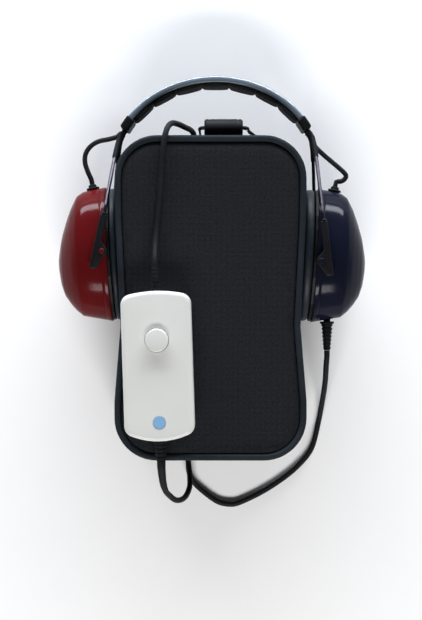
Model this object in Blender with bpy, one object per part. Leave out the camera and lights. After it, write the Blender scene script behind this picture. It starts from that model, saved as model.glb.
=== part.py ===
"""Audiometer kit, lying on its back: zip case, clamped headset, handset with a response button, leads.

Metres, +Z up. The origin is the centre of the case's back face, +X is to the right and +Y to the headband.
"""

import math

import bmesh
import bpy
from mathutils import Matrix, Vector

# Clearances shared by the whole kit
TOUCH_GAP = 0.0003
RUNNING_GAP = 0.0004
CUT_OVERRUN = 0.002
ROUND_PROFILE = 0.5
EDGE_ANGLE = math.radians(40)

# Case
CASE_WIDTH = 0.158
CASE_LENGTH = 0.2676
CASE_DEPTH = 0.095
CASE_CORNER = 0.035
CASE_WALL = 0.003
SEAM_HEIGHT = 0.025
PIPING_DIAMETER = 0.0053
PIPING_PROUD = 0.0012
CASE_TOP = CASE_LENGTH / 2
WAIST_DEPTH = 0.0050
SHOULDER_DEPTH = 0.0006
WAIST_TOP = CASE_TOP - 0.0738
WAIST_TOP_RAMP = 0.030
WAIST_BOTTOM = CASE_TOP - 0.1568
WAIST_BOTTOM_RAMP = 0.062
CORNER_STEPS = 5

# Zip and hinge strip on the seam
TAPE_THICKNESS = 0.0008
TAPE_WIDTH = 0.010
HINGE_STRIP_WIDTH = 0.014
SLIDER_SIZE = Vector((0.008, 0.0035, 0.011))
TOP_SLIDER_X = -0.004
BOTTOM_SLIDER_X = -0.010
PULL_SIZE = Vector((0.006, 0.0014, 0.016))
PULL_BARREL = 0.0011
PULL_NECK_ANGLE = math.radians(140)

# Carry handle on the top wall
HANDLE_HEIGHT = 0.060
HANDLE_LEFT_X = -0.008
HANDLE_RIGHT_X = 0.040
GRIP_CENTRE = Vector((0.011, CASE_TOP + 0.0103, HANDLE_HEIGHT))
GRIP_LENGTH = 0.0325
GRIP_DIAMETER = 0.0148
STRAP_WIDTH = 0.012
STRAP_THICKNESS = 0.0018
STRAP_BEND_SHARE = 0.6
HANDLE_BARREL = 0.0016
ANCHOR_SIZE = Vector((0.012, 0.001, 0.020))

# Headset: mid height, the line beside the case that it is measured from, headband ellipse and cross-section
HEADSET_HEIGHT = 0.048
HEADSET_SIDE = CASE_WIDTH / 2 - 0.0038
BAND_CENTRE = Vector((0.0045, CASE_TOP - 0.0218))
BAND_RADIUS_X = HEADSET_SIDE + 0.0143
BAND_RADIUS_Y = 0.0765
BAND_WIDTH = 0.024
BAND_COVER = 0.0018
COVER_STEPS = 22
BAND_LIP = 0.0053
BAND_PAD_DEPTH = 0.0034
BAND_LOBES = 7
BAND_GROOVE = 0.0022
LOBE_FULLNESS = 0.35
BAND_END_ANGLE = math.radians(34.2)
BLOCK_ANGLE = math.radians(8.4)
BLOCK_WALL = 0.0014
WIRE_DIAMETER = 0.0030
WIRE_SPREAD = 0.008
WIRE_DEPTH = 0.0036
WIRE_BEND_ANGLE = math.radians(12)
WIRE_ARCH_STEPS = 16
WIRE_STRAIGHT_POINTS = 3
ARM_SPREAD = 0.045

# Arms that slide on the wires
ARM_LENGTH = 0.0455
ARM_WIDTH = 0.0058
ARM_THICKNESS = 0.0052
ARM_BORE_DEPTH = 0.040
WIRE_IN_ARM = 0.034
PIVOT_PIN = 0.0040
PIVOT_BOSS = 0.0085
BOSS_START = math.radians(35)
BOSS_END = math.radians(145)

# Ear cups, seen along the headset's height
CUP_HEIGHT = 0.1144
CUP_WIDTH = 0.0840
CUP_HALF_HEIGHT = CUP_HEIGHT / 2
CUP_HALF_WIDTH = CUP_WIDTH / 2
CUP_DEPTH = 0.0440
CUP_WALL = 0.0025
CUP_RIM_X = {-1: HEADSET_SIDE + 0.0108, 1: HEADSET_SIDE + 0.0132}
CUP_CENTRE_Y = {-1: CASE_TOP - 0.0961, 1: CASE_TOP - 0.0973}
CUP_TILT = math.radians(3.25)
CUP_PROFILE_SHARES = (
    (0.00, 1.00, 1.00), (0.43, 0.955, 0.925), (0.57, 0.89, 0.90), (0.69, 0.73, 0.82),
    (0.80, 0.53, 0.715), (0.90, 0.31, 0.59), (0.96, 0.11, 0.435), (0.99, -0.01, 0.25),
)
CUP_STEPS = 26
PLATE_THICKNESS = 0.0020
CUSHION_WALL = 0.014
CUSHION_INSET = 0.0012
CUSHION_STEPS = 28
CUSHION_SHARES = (0.0, 0.15, 0.5, 0.85, 1.0)
PIVOT_DEPTH = 0.0032
DRIVER_DIAMETER = 0.042
DRIVER_DEPTH = 0.009
MAGNET_SHARE = 0.6
FOAM_START = 0.014
FOAM_BORE = 0.010
FOAM_STEPS = 16

# Cable grommets, strain relief and link cords on the headset
GROMMET_FLANGE = 0.0055
GROMMET_COLLAR = 0.0034
GROMMET_NECK = 0.0030
GROMMET_HEIGHT = 0.0042
GROMMET_LIP_SHARE = 0.4
GROMMET_NECK_LENGTH = 0.0032
RED_GROMMET_DEPTH = 0.0112
RED_GROMMET_LEAN = math.radians(7.0)
BLUE_GROMMET_DEPTH = 0.0142
BLUE_GROMMET_LEAN = math.radians(8.0)
LINK_DIAMETER = 0.0042
CUP_RELIEF_DEPTH = 0.0143
CUP_RELIEF_LENGTH = 0.0245
CUP_RELIEF_FLANGE = 0.0060
CUP_RELIEF_ROOT = 0.0048
CUP_RELIEF_TIP = 0.0032
CUP_RELIEF_RIBS = 7
RIB_WAIST_SHARE = 0.82
RIB_LAND_SHARE = 0.7

# Handset
HANDSET_CENTRE = Vector((-0.0425, -0.0552))
HANDSET_TURN = math.radians(1.85)
HANDSET_WIDTH = 0.0568
HANDSET_LENGTH = 0.1212
HANDSET_HEIGHT = 0.024
HANDSET_CORNER = 0.0088
CORNER_INSET_SHARE = 0.8
HANDSET_BOW_SHARES = (0.5, 0.0, -0.5)
HANDSET_TOP_BOW = 0.0021
HANDSET_BOTTOM_BOW = 0.0040
HANDSET_EDGE = 0.0034
HANDSET_WALL = 0.0020
HANDSET_SPLIT = 0.010
BUTTON_OFFSET = HANDSET_LENGTH / 2 - 0.0397
BUTTON_DIAMETER = 0.0190
BUTTON_PROUD = 0.0048
BUTTON_TRAVEL = 0.0015
BUTTON_FLANGE = 0.0016
BUTTON_STEM = 0.0030
DISC_OFFSET = 0.0154 - HANDSET_LENGTH / 2
DISC_DIAMETER = 0.0100
DISC_THICKNESS = 0.0006
SCREW_OFFSET = HANDSET_LENGTH / 2 - 0.0136
SCREW_HEAD = 0.0026
SCREW_SHANK = 0.0013
POST_RADIUS = 0.0030
BOARD_THICKNESS = 0.0016
BOARD_LIFT = 0.003
BOARD_LENGTH = HANDSET_LENGTH - 0.0432
BOARD_WIDTH = 0.044
BOARD_REST_SHARE = 0.85
SWITCH_SIDE = 0.012
RELIEF_TOP_LENGTH = 0.020
RELIEF_TOP_RADIUS = 0.0036
RELIEF_TOP_RIBS = 6
RELIEF_BOTTOM_LENGTH = 0.0165
RELIEF_BOTTOM_RADIUS = 0.0052
RELIEF_BOTTOM_RIBS = 5
RELIEF_TIP_SHARE = 1.2
BOOT_LENGTH = 0.036
BOOT_RADIUS = 0.0036

# Leads
LEAD_DIAMETER = 0.0048
LEAD_STEP = 0.012
ROUTE_SAMPLES = 24
LINK_STEP = 0.009
COIL_RADIUS = 0.0262
COIL_GAP = 0.00055
COIL_POINTS = 24
HEADSET_COIL_CENTRE = Vector((-0.008, -0.056))
HEADSET_COIL_TURNS = 8.5
USB_COIL_CENTRE = Vector((-0.002, 0.042))
USB_COIL_TURNS = 8.5
SEAM_EXIT_WIDTH = 0.0068
BOTTOM_EXIT_SHARE = -0.12342
BOTTOM_EXIT_LOW = 0.0195
BOTTOM_EXIT_HIGH = 0.0270
TOP_EXIT_SHARE = -0.08861
TOP_EXIT_HEIGHT = 0.025
PLUG_BODY = Vector((0.0155, 0.030, 0.0080))
PLUG_SHELL = Vector((0.0120, 0.0119, 0.0045))
PLUG_WALL = 0.0004
PLUG_CORE = 0.0018
PLUG_CORE_SHARE = 0.9
PLUG_RUN_SHARE = 2.5

# Worked out from the driving sizes
FACE = CASE_DEPTH
SIDE_INSET = PIPING_PROUD
RABBET_INSET = PIPING_DIAMETER + TOUCH_GAP
RABBET_DEPTH = PIPING_DIAMETER
WALL_Y = CASE_LENGTH / 2 - SIDE_INSET
HANDSET_BASE = FACE + TOUCH_GAP
HANDSET_TOP = HANDSET_BASE + HANDSET_HEIGHT
LEAD_RADIUS = LEAD_DIAMETER / 2
PLATE_BACK = -TOUCH_GAP - PLATE_THICKNESS
CUSHION_BACK = PLATE_BACK - TOUCH_GAP
FLOOR = CASE_WALL
COIL_PITCH = LEAD_DIAMETER + COIL_GAP
COIL_BASE = FLOOR + TOUCH_GAP + LEAD_RADIUS
BOTTOM_EXIT_X = CASE_WIDTH * BOTTOM_EXIT_SHARE
TOP_EXIT_X = CASE_WIDTH * TOP_EXIT_SHARE
UP = Vector((0.0, 0.0, 1.0))

# Sliding arms: mouth, foot and pivot as measured out from the case's side and down from its top
ARMS = {
    "red": {"side": -1, "mouth": Vector((-HEADSET_SIDE - 0.0125, CASE_TOP - 0.0651)),
            "foot": Vector((-HEADSET_SIDE - 0.0218, CASE_TOP - 0.1097)), "pivot_y": CASE_TOP - 0.0953,
            "cable_depth": RED_GROMMET_DEPTH, "cable_lean": RED_GROMMET_LEAN},
    "blue": {"side": 1, "mouth": Vector((HEADSET_SIDE + 0.0178, CASE_TOP - 0.0705)),
             "foot": Vector((HEADSET_SIDE + 0.0230, CASE_TOP - 0.1163)), "pivot_y": CASE_TOP - 0.1034,
             "cable_depth": BLUE_GROMMET_DEPTH, "cable_lean": BLUE_GROMMET_LEAN},
}

# Routes of the link cords, chosen by hand: out from the case's side, up from its top
RED_LINK_ROUTE = (
    (0.0008, 0.0078), (0.0046, 0.0042), (0.0118, 0.0022), (0.0200, 0.0005),
    (0.0270, -0.0035), (0.0315, -0.0100), (0.0322, -0.0175), (0.0298, -0.0255),
)
BLUE_LINK_ROUTE = (
    (0.0086, 0.0078), (0.0108, 0.0018), (0.0142, -0.0040), (0.0203, -0.0100),
    (0.0277, -0.0164), (0.0345, -0.0222), (0.0390, -0.0264), (0.0408, -0.0296), (0.0376, -0.0334),
)

# Routes of the leads, chosen by hand: x, y, z of points that a smooth curve passes through, drawn on a
# case of this width and length
ROUTE_CASE_WIDTH = 0.158
ROUTE_CASE_LENGTH = 0.2676
HEADSET_LEAD_ROUTE = (
    (0.0992, -0.0590, 0.0440), (0.0994, -0.0710, 0.0335), (0.0989, -0.0845, 0.0190),
    (0.0978, -0.0970, 0.0075), (0.0961, -0.1078, 0.0030), (0.0898, -0.1327, 0.0027), (0.0773, -0.1487, 0.0027),
    (0.0622, -0.1611, 0.0027), (0.0436, -0.1727, 0.0027), (0.0249, -0.1814, 0.0027), (0.0164, -0.1826, 0.0027),
    (0.0062, -0.1802, 0.0027), (-0.0062, -0.1714, 0.0027), (-0.0148, -0.1630, 0.0032), (-0.0190, -0.1535, 0.0075),
    (-0.0195, -0.1440, 0.0155), (-0.0195, -0.1335, 0.0195), (-0.0195, -0.1210, 0.0190), (-0.0250, -0.1040, 0.0140),
    (-0.0385, -0.0850, 0.0075),
)
HANDSET_LOOP_ROUTE = (
    (-0.0388, -0.1500, 0.1015), (-0.0368, -0.1590, 0.0915), (-0.0335, -0.1645, 0.0815),
    (-0.0290, -0.1690, 0.0730), (-0.0245, -0.1700, 0.0630), (-0.0208, -0.1680, 0.0530),
    (-0.0180, -0.1620, 0.0430), (-0.0180, -0.1530, 0.0340), (-0.0192, -0.1440, 0.0285), (-0.0195, -0.1335, 0.0270),
    (-0.0185, -0.1220, 0.0262), (-0.0080, -0.1060, 0.0210), (0.0150, -0.0900, 0.0135),
)
USB_LEAD_ROUTE = (
    (-0.0450, 0.0450, 0.1008), (-0.0436, 0.0600, 0.0977),
    (-0.0412, 0.0850, 0.0977), (-0.0399, 0.1080, 0.0980), (-0.0385, 0.1240, 0.0988), (-0.0362, 0.1370, 0.0970),
    (-0.0325, 0.1440, 0.0880), (-0.0275, 0.1455, 0.0740), (-0.0215, 0.1450, 0.0570), (-0.0165, 0.1445, 0.0400),
    (-0.0141, 0.1410, 0.0282), (-0.0140, 0.1340, 0.0250), (-0.0140, 0.1240, 0.0246), (-0.0220, 0.1040, 0.0180),
    (-0.0345, 0.0760, 0.0085),
)


def clear_scene():
    """Remove whatever the open file holds."""
    for item in list(bpy.data.objects):
        bpy.data.objects.remove(item, do_unlink=True)


def finish(name, colour, roughness, metallic=0.0):
    """Give a Principled material of one colour, made once."""
    made = bpy.data.materials.get(name)
    if made:
        return made
    made = bpy.data.materials.new(name)
    made.use_nodes = True
    shader = made.node_tree.nodes["Principled BSDF"]
    shader.inputs["Base Color"].default_value = (*colour, 1.0)
    shader.inputs["Roughness"].default_value = roughness
    shader.inputs["Metallic"].default_value = metallic
    made.diffuse_color = (*colour, 1.0)
    return made


def woven_nylon():
    return finish("woven_nylon", (0.020, 0.022, 0.026), 0.75)


def piping_vinyl():
    return finish("piping_vinyl", (0.035, 0.045, 0.055), 0.45)


def black_plastic():
    return finish("black_plastic", (0.012, 0.012, 0.013), 0.45)


def black_rubber():
    return finish("black_rubber", (0.016, 0.016, 0.018), 0.6)


def bright_steel():
    return finish("bright_steel", (0.62, 0.62, 0.64), 0.22, 1.0)


def band_plastic():
    return finish("band_plastic", (0.10, 0.14, 0.19), 0.35)


def pad_foam():
    return finish("pad_foam", (0.014, 0.015, 0.015), 0.9)


def white_plastic():
    return finish("white_plastic", (0.78, 0.77, 0.74), 0.38)


def cup_red():
    return finish("cup_red", (0.16, 0.010, 0.014), 0.28)


def cup_blue():
    return finish("cup_blue", (0.012, 0.016, 0.045), 0.28)


def cushion_leather():
    return finish("cushion_leather", (0.022, 0.028, 0.034), 0.5)


def disc_blue():
    return finish("disc_blue", (0.10, 0.30, 0.62), 0.4)


def board_green():
    return finish("board_green", (0.02, 0.16, 0.06), 0.5)


def add_piece(name, mesh_bmesh, material, origin=Vector((0.0, 0.0, 0.0)), smooth_angle=None):
    """Turn a bmesh in world coordinates into an object whose origin is at the point given."""
    bmesh.ops.remove_doubles(mesh_bmesh, verts=mesh_bmesh.verts, dist=1e-7)
    bmesh.ops.recalc_face_normals(mesh_bmesh, faces=mesh_bmesh.faces)
    bmesh.ops.translate(mesh_bmesh, verts=mesh_bmesh.verts, vec=-Vector(origin))
    mesh = bpy.data.meshes.new(name)
    mesh_bmesh.to_mesh(mesh)
    mesh_bmesh.free()
    piece = bpy.data.objects.new(name, mesh)
    piece.location = origin
    bpy.context.scene.collection.objects.link(piece)
    mesh.materials.append(material)
    if smooth_angle is not None:
        mesh.shade_smooth()
        mesh.set_sharp_from_angle(angle=smooth_angle)
    return piece


def add_cutter(name, mesh_bmesh):
    """Make a hidden object that other pieces are cut with."""
    cutter = add_piece(name, mesh_bmesh, black_plastic())
    cutter.hide_render = True
    cutter.display_type = "WIRE"
    return cutter


def combine(piece, other, operation):
    """Leave an exact Boolean of the other object on a piece."""
    boolean = piece.modifiers.new(other.name, "BOOLEAN")
    boolean.operation = operation
    boolean.object = other
    boolean.solver = "EXACT"
    return boolean


def loft(rings, joined=False):
    """Skin a chain of rings with equal counts, capped at both ends or joined into a tube of tubes."""
    made = bmesh.new()
    loops = [[made.verts.new(point) for point in ring] for ring in rings]
    pairs = list(zip(loops, loops[1:]))
    if joined:
        pairs.append((loops[-1], loops[0]))
    for first, second in pairs:
        count = len(first)
        for index in range(count):
            following = (index + 1) % count
            made.faces.new((first[index], first[following], second[following], second[index]))
    if not joined:
        made.faces.new(loops[0])
        made.faces.new(reversed(loops[-1]))
    return made


def axis_frame(axis):
    """Give a rotation that turns +Z to an axis."""
    return Vector(axis).to_track_quat("Z", "Y").to_matrix().to_4x4()


def turned(profile, centre, axis, steps=24):
    """Spin a profile of radius and height, which starts and ends on the axis, about a line."""
    made = bmesh.new()
    chain = [made.verts.new((radius, 0.0, height)) for radius, height in profile]
    edges = [made.edges.new(pair) for pair in zip(chain, chain[1:])]
    bmesh.ops.spin(made, geom=chain + edges, cent=(0, 0, 0), axis=(0, 0, 1), angle=math.tau,
                   steps=steps, use_merge=True)
    bmesh.ops.remove_doubles(made, verts=made.verts, dist=1e-7)
    bmesh.ops.transform(made, matrix=Matrix.Translation(centre) @ axis_frame(axis), verts=made.verts)
    return made


def block(size, centre, turn=0.0):
    """Give a box of a size about a centre, turned about Z."""
    made = bmesh.new()
    bmesh.ops.create_cube(made, size=1.0)
    bmesh.ops.scale(made, vec=size, verts=made.verts)
    placed = Matrix.Translation(centre) @ Matrix.Rotation(turn, 4, "Z")
    bmesh.ops.transform(made, matrix=placed, verts=made.verts)
    return made


def ease_edges(made, offset, segments):
    """Round all edges of a small block."""
    bmesh.ops.bevel(made, geom=list(made.edges), offset=offset, segments=segments, affect="EDGES",
                    profile=ROUND_PROFILE, material=-1)


def rod(radius, start, end, steps=16):
    """Give a plain round rod between two points."""
    start, end = Vector(start), Vector(end)
    length = (end - start).length
    return turned(((0.0, 0.0), (radius, 0.0), (radius, length), (0.0, length)), start, end - start, steps)


def arc_points(centre, radius, start, end, steps):
    """Give the points of an arc in a plane."""
    turns = [start + (end - start) * index / steps for index in range(steps + 1)]
    middle = Vector(centre)
    return [middle + radius * Vector((math.cos(turn), math.sin(turn))) for turn in turns]


def lift(points, height):
    """Put plane points at a height."""
    return [Vector((point[0], point[1], height)) for point in points]


# Smooth cords


def smooth_route(points, step, before=None, after=None):
    """Read a smooth curve through hand-chosen points at an even step, both ends kept."""
    knots = [Vector(point) for point in points]
    before = before or 2 * knots[0] - knots[1]
    after = after or 2 * knots[-1] - knots[-2]
    knots = [before] + knots + [after]
    fine = []
    for before, start, end, after in zip(knots, knots[1:], knots[2:], knots[3:]):
        for index in range(ROUTE_SAMPLES):
            share = index / ROUTE_SAMPLES
            fine.append(0.5 * (2 * start + (end - before) * share
                               + (2 * before - 5 * start + 4 * end - after) * share ** 2
                               + (3 * start - before - 3 * end + after) * share ** 3))
    fine.append(knots[-2])
    return even_points(fine, step)


def on_case(route):
    """Fit a route drawn by hand to the case's own width and length."""
    wide = CASE_WIDTH / ROUTE_CASE_WIDTH
    long = CASE_LENGTH / ROUTE_CASE_LENGTH
    return [Vector((x * wide, y * long, z)) for x, y, z in route]


def beside_case(side, route):
    """Place a route that is measured out from the case's side and up from its top."""
    return [Vector((side * (HEADSET_SIDE + out), CASE_TOP + rise, HEADSET_HEIGHT)) for out, rise in route]


def even_points(fine, step):
    """Read a fine chain of points again at an even step."""
    lengths = [0.0]
    for first, second in zip(fine, fine[1:]):
        lengths.append(lengths[-1] + (second - first).length)
    count = max(2, round(lengths[-1] / step))
    even = []
    place = 0
    for index in range(count + 1):
        target = lengths[-1] * index / count
        while place < len(fine) - 2 and lengths[place + 1] < target:
            place += 1
        span = lengths[place + 1] - lengths[place]
        even.append(fine[place].lerp(fine[place + 1], (target - lengths[place]) / span))
    return even


def chain_length(points):
    return sum((second - first).length for first, second in zip(points, points[1:]))


def trimmed(points, cut):
    """Draw a chain's far end back along its own direction."""
    points = [point.copy() for point in points]
    points[-1] += (points[-2] - points[-1]).normalized() * cut
    return points


def cord(name, points, diameter, material, resolution=2, closed=False, radii=None):
    """Make a round cord along points, with filled ends."""
    data = bpy.data.curves.new(name, "CURVE")
    data.dimensions = "3D"
    data.bevel_depth = diameter / 2
    data.bevel_resolution = resolution
    data.use_fill_caps = not closed
    spline = data.splines.new("POLY")
    spline.points.add(len(points) - 1)
    for index, point in enumerate(points):
        spline.points[index].co = (*point, 1.0)
        if radii:
            spline.points[index].radius = radii[index]
    spline.use_cyclic_u = closed
    piece = bpy.data.objects.new(name, data)
    bpy.context.scene.collection.objects.link(piece)
    data.materials.append(material)
    return piece


def coil_points(centre, start_angle, turns, direction):
    """Give the turns of a coil in two layers, spiralling in and then out above, both ends outside."""
    half = turns / 2
    middle_out = COIL_RADIUS + COIL_PITCH * half / 2
    count = round(turns * COIL_POINTS)
    points = []
    for index in range(count + 1):
        turn = turns * index / count
        radius = middle_out - COIL_PITCH * (half - abs(turn - half))
        climb = min(1.0, max(0.0, (turn - half) * 2 + 0.5))
        height = COIL_BASE + COIL_PITCH * climb * climb * (3 - 2 * climb)
        angle = start_angle + direction * math.tau * turn
        place = centre + radius * Vector((math.cos(angle), math.sin(angle)))
        points.append(Vector((*place, height)))
    return points


def with_straight_ends(points, length):
    """Lengthen a chain at both ends, straight on, by one length."""
    before = points[0] + (points[0] - points[1]).normalized() * length
    after = points[-1] + (points[-1] - points[-2]).normalized() * length
    return [before] + points + [after]


def least_gap(points, diameter):
    """Measure the least gap of a coil to itself, past the stretch where points are plain neighbours."""
    reach = COIL_POINTS // 2
    least = math.inf
    for index, point in enumerate(points):
        for other in points[index + reach:]:
            least = min(least, (other - point).length)
    return least - diameter


# Case


def side_line(inset):
    """Give the right side's half widths and heights, from below the waist to above the shoulder."""
    side = CASE_WIDTH / 2 - inset
    return [(side, WAIST_BOTTOM - WAIST_BOTTOM_RAMP), (side - WAIST_DEPTH, WAIST_BOTTOM),
            (side - SHOULDER_DEPTH, WAIST_TOP), (side, WAIST_TOP + WAIST_TOP_RAMP)]


def case_outline(inset):
    """Give the case's outline, counter-clockwise, drawn in by an inset."""
    corner = CASE_CORNER - inset
    corner_x = CASE_WIDTH / 2 - inset - corner
    corner_y = CASE_LENGTH / 2 - inset - corner
    quarter = math.pi / 2
    right = side_line(inset)
    left = [(-x, y) for x, y in reversed(right)]
    points = arc_points((corner_x, -corner_y), corner, -quarter, 0.0, CORNER_STEPS)
    points += [Vector(point) for point in right]
    points += arc_points((corner_x, corner_y), corner, 0.0, quarter, CORNER_STEPS)
    points += arc_points((-corner_x, corner_y), corner, quarter, 2 * quarter, CORNER_STEPS)
    points += [Vector(point) for point in left]
    points += arc_points((-corner_x, -corner_y), corner, 2 * quarter, 3 * quarter, CORNER_STEPS)
    return points


def case_half_width(y):
    """Give the case's half width at a height along it, beside the cups."""
    line = side_line(0.0)
    for (low, start), (high, end) in zip(line, line[1:]):
        if start <= y <= end:
            return low + (high - low) * (y - start) / (end - start)
    return CASE_WIDTH / 2


def case_shell(name, outer, inner, rabbet, seam, toward):
    """Make one half of the case: a tray whose outer edge is stepped back for the piping."""
    wall = CASE_WALL
    rings = (
        lift(case_outline(RABBET_INSET), outer),
        lift(case_outline(RABBET_INSET), rabbet),
        lift(case_outline(SIDE_INSET), rabbet),
        lift(case_outline(SIDE_INSET), seam),
        lift(case_outline(SIDE_INSET + wall), seam),
        lift(case_outline(SIDE_INSET + wall), rabbet - toward * wall),
        lift(case_outline(RABBET_INSET + wall), rabbet - toward * wall),
        lift(case_outline(RABBET_INSET + wall), inner),
    )
    return add_piece(name, loft(rings), woven_nylon())


def lead_exits():
    """Make the cutters for the two places where leads pass through the open zip."""
    depth = 2 * (CASE_WALL + SIDE_INSET) + 2 * CUT_OVERRUN
    margin = SEAM_EXIT_WIDTH
    bottom_middle = (BOTTOM_EXIT_LOW + BOTTOM_EXIT_HIGH) / 2
    bottom_size = (SEAM_EXIT_WIDTH, depth, BOTTOM_EXIT_HIGH - BOTTOM_EXIT_LOW + margin)
    top_size = (SEAM_EXIT_WIDTH, depth, margin)
    bottom = block(bottom_size, (BOTTOM_EXIT_X, -CASE_LENGTH / 2, bottom_middle))
    top = block(top_size, (TOP_EXIT_X, CASE_LENGTH / 2, TOP_EXIT_HEIGHT))
    return add_cutter("cut_bottom_exit", bottom), add_cutter("cut_top_exit", top)


def zip_path():
    """Give the tape's line on the outline, from the top wall's right end round the left to the bottom."""
    outline = case_outline(0.0)
    limit = CASE_WIDTH / 2 - CASE_CORNER + CUT_OVERRUN
    start = next(index for index, point in enumerate(outline) if point.x < limit and point.y > 0)
    return [*range(start, len(outline)), 0]


def zip_tape(name, low, high):
    """Make one half of the zip: a strip that follows the wall outside, left of the hinge."""
    outer = case_outline(TOUCH_GAP / 2)
    inner = case_outline(TOUCH_GAP / 2 + TAPE_THICKNESS)
    rings = []
    for index in zip_path():
        out_point, in_point = outer[index], inner[index]
        rings.append([Vector((*out_point, low)), Vector((*in_point, low)), Vector((*in_point, high)),
                      Vector((*out_point, high))])
    return add_piece(name, loft(rings), black_rubber())


def hinge_strip():
    """Make the fabric hinge on the right wall's straight stretch, where the cup presses on it."""
    outer = side_line(TOUCH_GAP / 2)[1:3]
    inner = side_line(TOUCH_GAP / 2 + TAPE_THICKNESS)[1:3]
    ring = [*outer, *reversed(inner)]
    low, high = SEAM_HEIGHT - HINGE_STRIP_WIDTH / 2, SEAM_HEIGHT + HINGE_STRIP_WIDTH / 2
    add_piece("hinge_strip", loft((lift(ring, low), lift(ring, high))), woven_nylon())


def zip_slider(name, x, side):
    """Make a zip slider that stands on the tape, with an eye for its pull."""
    proud = SLIDER_SIZE.y
    face = side * (CASE_LENGTH / 2 + TOUCH_GAP)
    body = block(SLIDER_SIZE, (x, face + side * proud / 2, SEAM_HEIGHT))
    ease_edges(body, proud / 4, 1)
    add_piece(name, body, bright_steel())


def zip_pull(name, x, side):
    """Make a pull that hangs from the slider: a round barrel on the hinge line and a flat tab."""
    width, thickness, length = PULL_SIZE
    axis_y = side * (CASE_LENGTH / 2 + TOUCH_GAP + SLIDER_SIZE.y + TOUCH_GAP + PULL_BARREL)
    barrel = arc_points((0.0, 0.0), PULL_BARREL, PULL_NECK_ANGLE, -PULL_NECK_ANGLE, 10)
    half = thickness / 2
    outline = [(-length, half), *barrel, (-length, -half)]
    rings = []
    for offset in (-width / 2, width / 2):
        rings.append([Vector((x + offset, axis_y + across, SEAM_HEIGHT + along)) for along, across in outline])
    add_piece(name, loft(rings), bright_steel(), origin=Vector((x, axis_y, SEAM_HEIGHT)))


def make_case():
    """Make the two shells, their piping, the zip and the hinge strip."""
    front = case_shell("case_front_shell", FACE, FACE - CASE_WALL, FACE - RABBET_DEPTH,
                       SEAM_HEIGHT + TOUCH_GAP / 2, 1)
    back = case_shell("case_back_shell", 0.0, CASE_WALL, RABBET_DEPTH + TOUCH_GAP,
                      SEAM_HEIGHT - TOUCH_GAP / 2, -1)
    piping_line = case_outline(PIPING_DIAMETER / 2)
    radius = PIPING_DIAMETER / 2
    front_height = FACE - RABBET_DEPTH + TOUCH_GAP + radius
    for name, height in (("front_piping", front_height), ("back_piping", radius)):
        cord(name, lift(piping_line, height), PIPING_DIAMETER, piping_vinyl(), resolution=1, closed=True)
    tapes = (
        zip_tape("zip_tape_front", SEAM_HEIGHT + TOUCH_GAP / 2, SEAM_HEIGHT + TAPE_WIDTH),
        zip_tape("zip_tape_back", SEAM_HEIGHT - TAPE_WIDTH, SEAM_HEIGHT - TOUCH_GAP / 2),
    )
    bottom_exit, top_exit = lead_exits()
    for piece in (front, back, *tapes):
        combine(piece, bottom_exit, "DIFFERENCE")
        combine(piece, top_exit, "DIFFERENCE")
    hinge_strip()
    for name, x, side in (("top", TOP_SLIDER_X, 1), ("bottom", BOTTOM_SLIDER_X, -1)):
        zip_slider(f"{name}_zip_slider", x, side)
        zip_pull(f"{name}_zip_pull", x, side)


# Carry handle


def strap_line():
    """Give the strap's middle line from the left anchor through the grip to the right one."""
    base_y = WALL_Y + TOUCH_GAP + ANCHOR_SIZE.y + TOUCH_GAP + HANDLE_BARREL
    half = GRIP_LENGTH / 2
    bend_y = base_y + (GRIP_CENTRE.y - base_y) * STRAP_BEND_SHARE
    left = GRIP_CENTRE.x - half
    right = GRIP_CENTRE.x + half
    thick = STRAP_THICKNESS
    return base_y, [Vector((HANDLE_LEFT_X, base_y)), Vector((left - 2 * thick, bend_y)),
                    Vector((left - thick / 2, GRIP_CENTRE.y)), Vector((right + thick / 2, GRIP_CENTRE.y)),
                    Vector((right + 3 * thick, bend_y)), Vector((HANDLE_RIGHT_X, base_y))]


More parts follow.
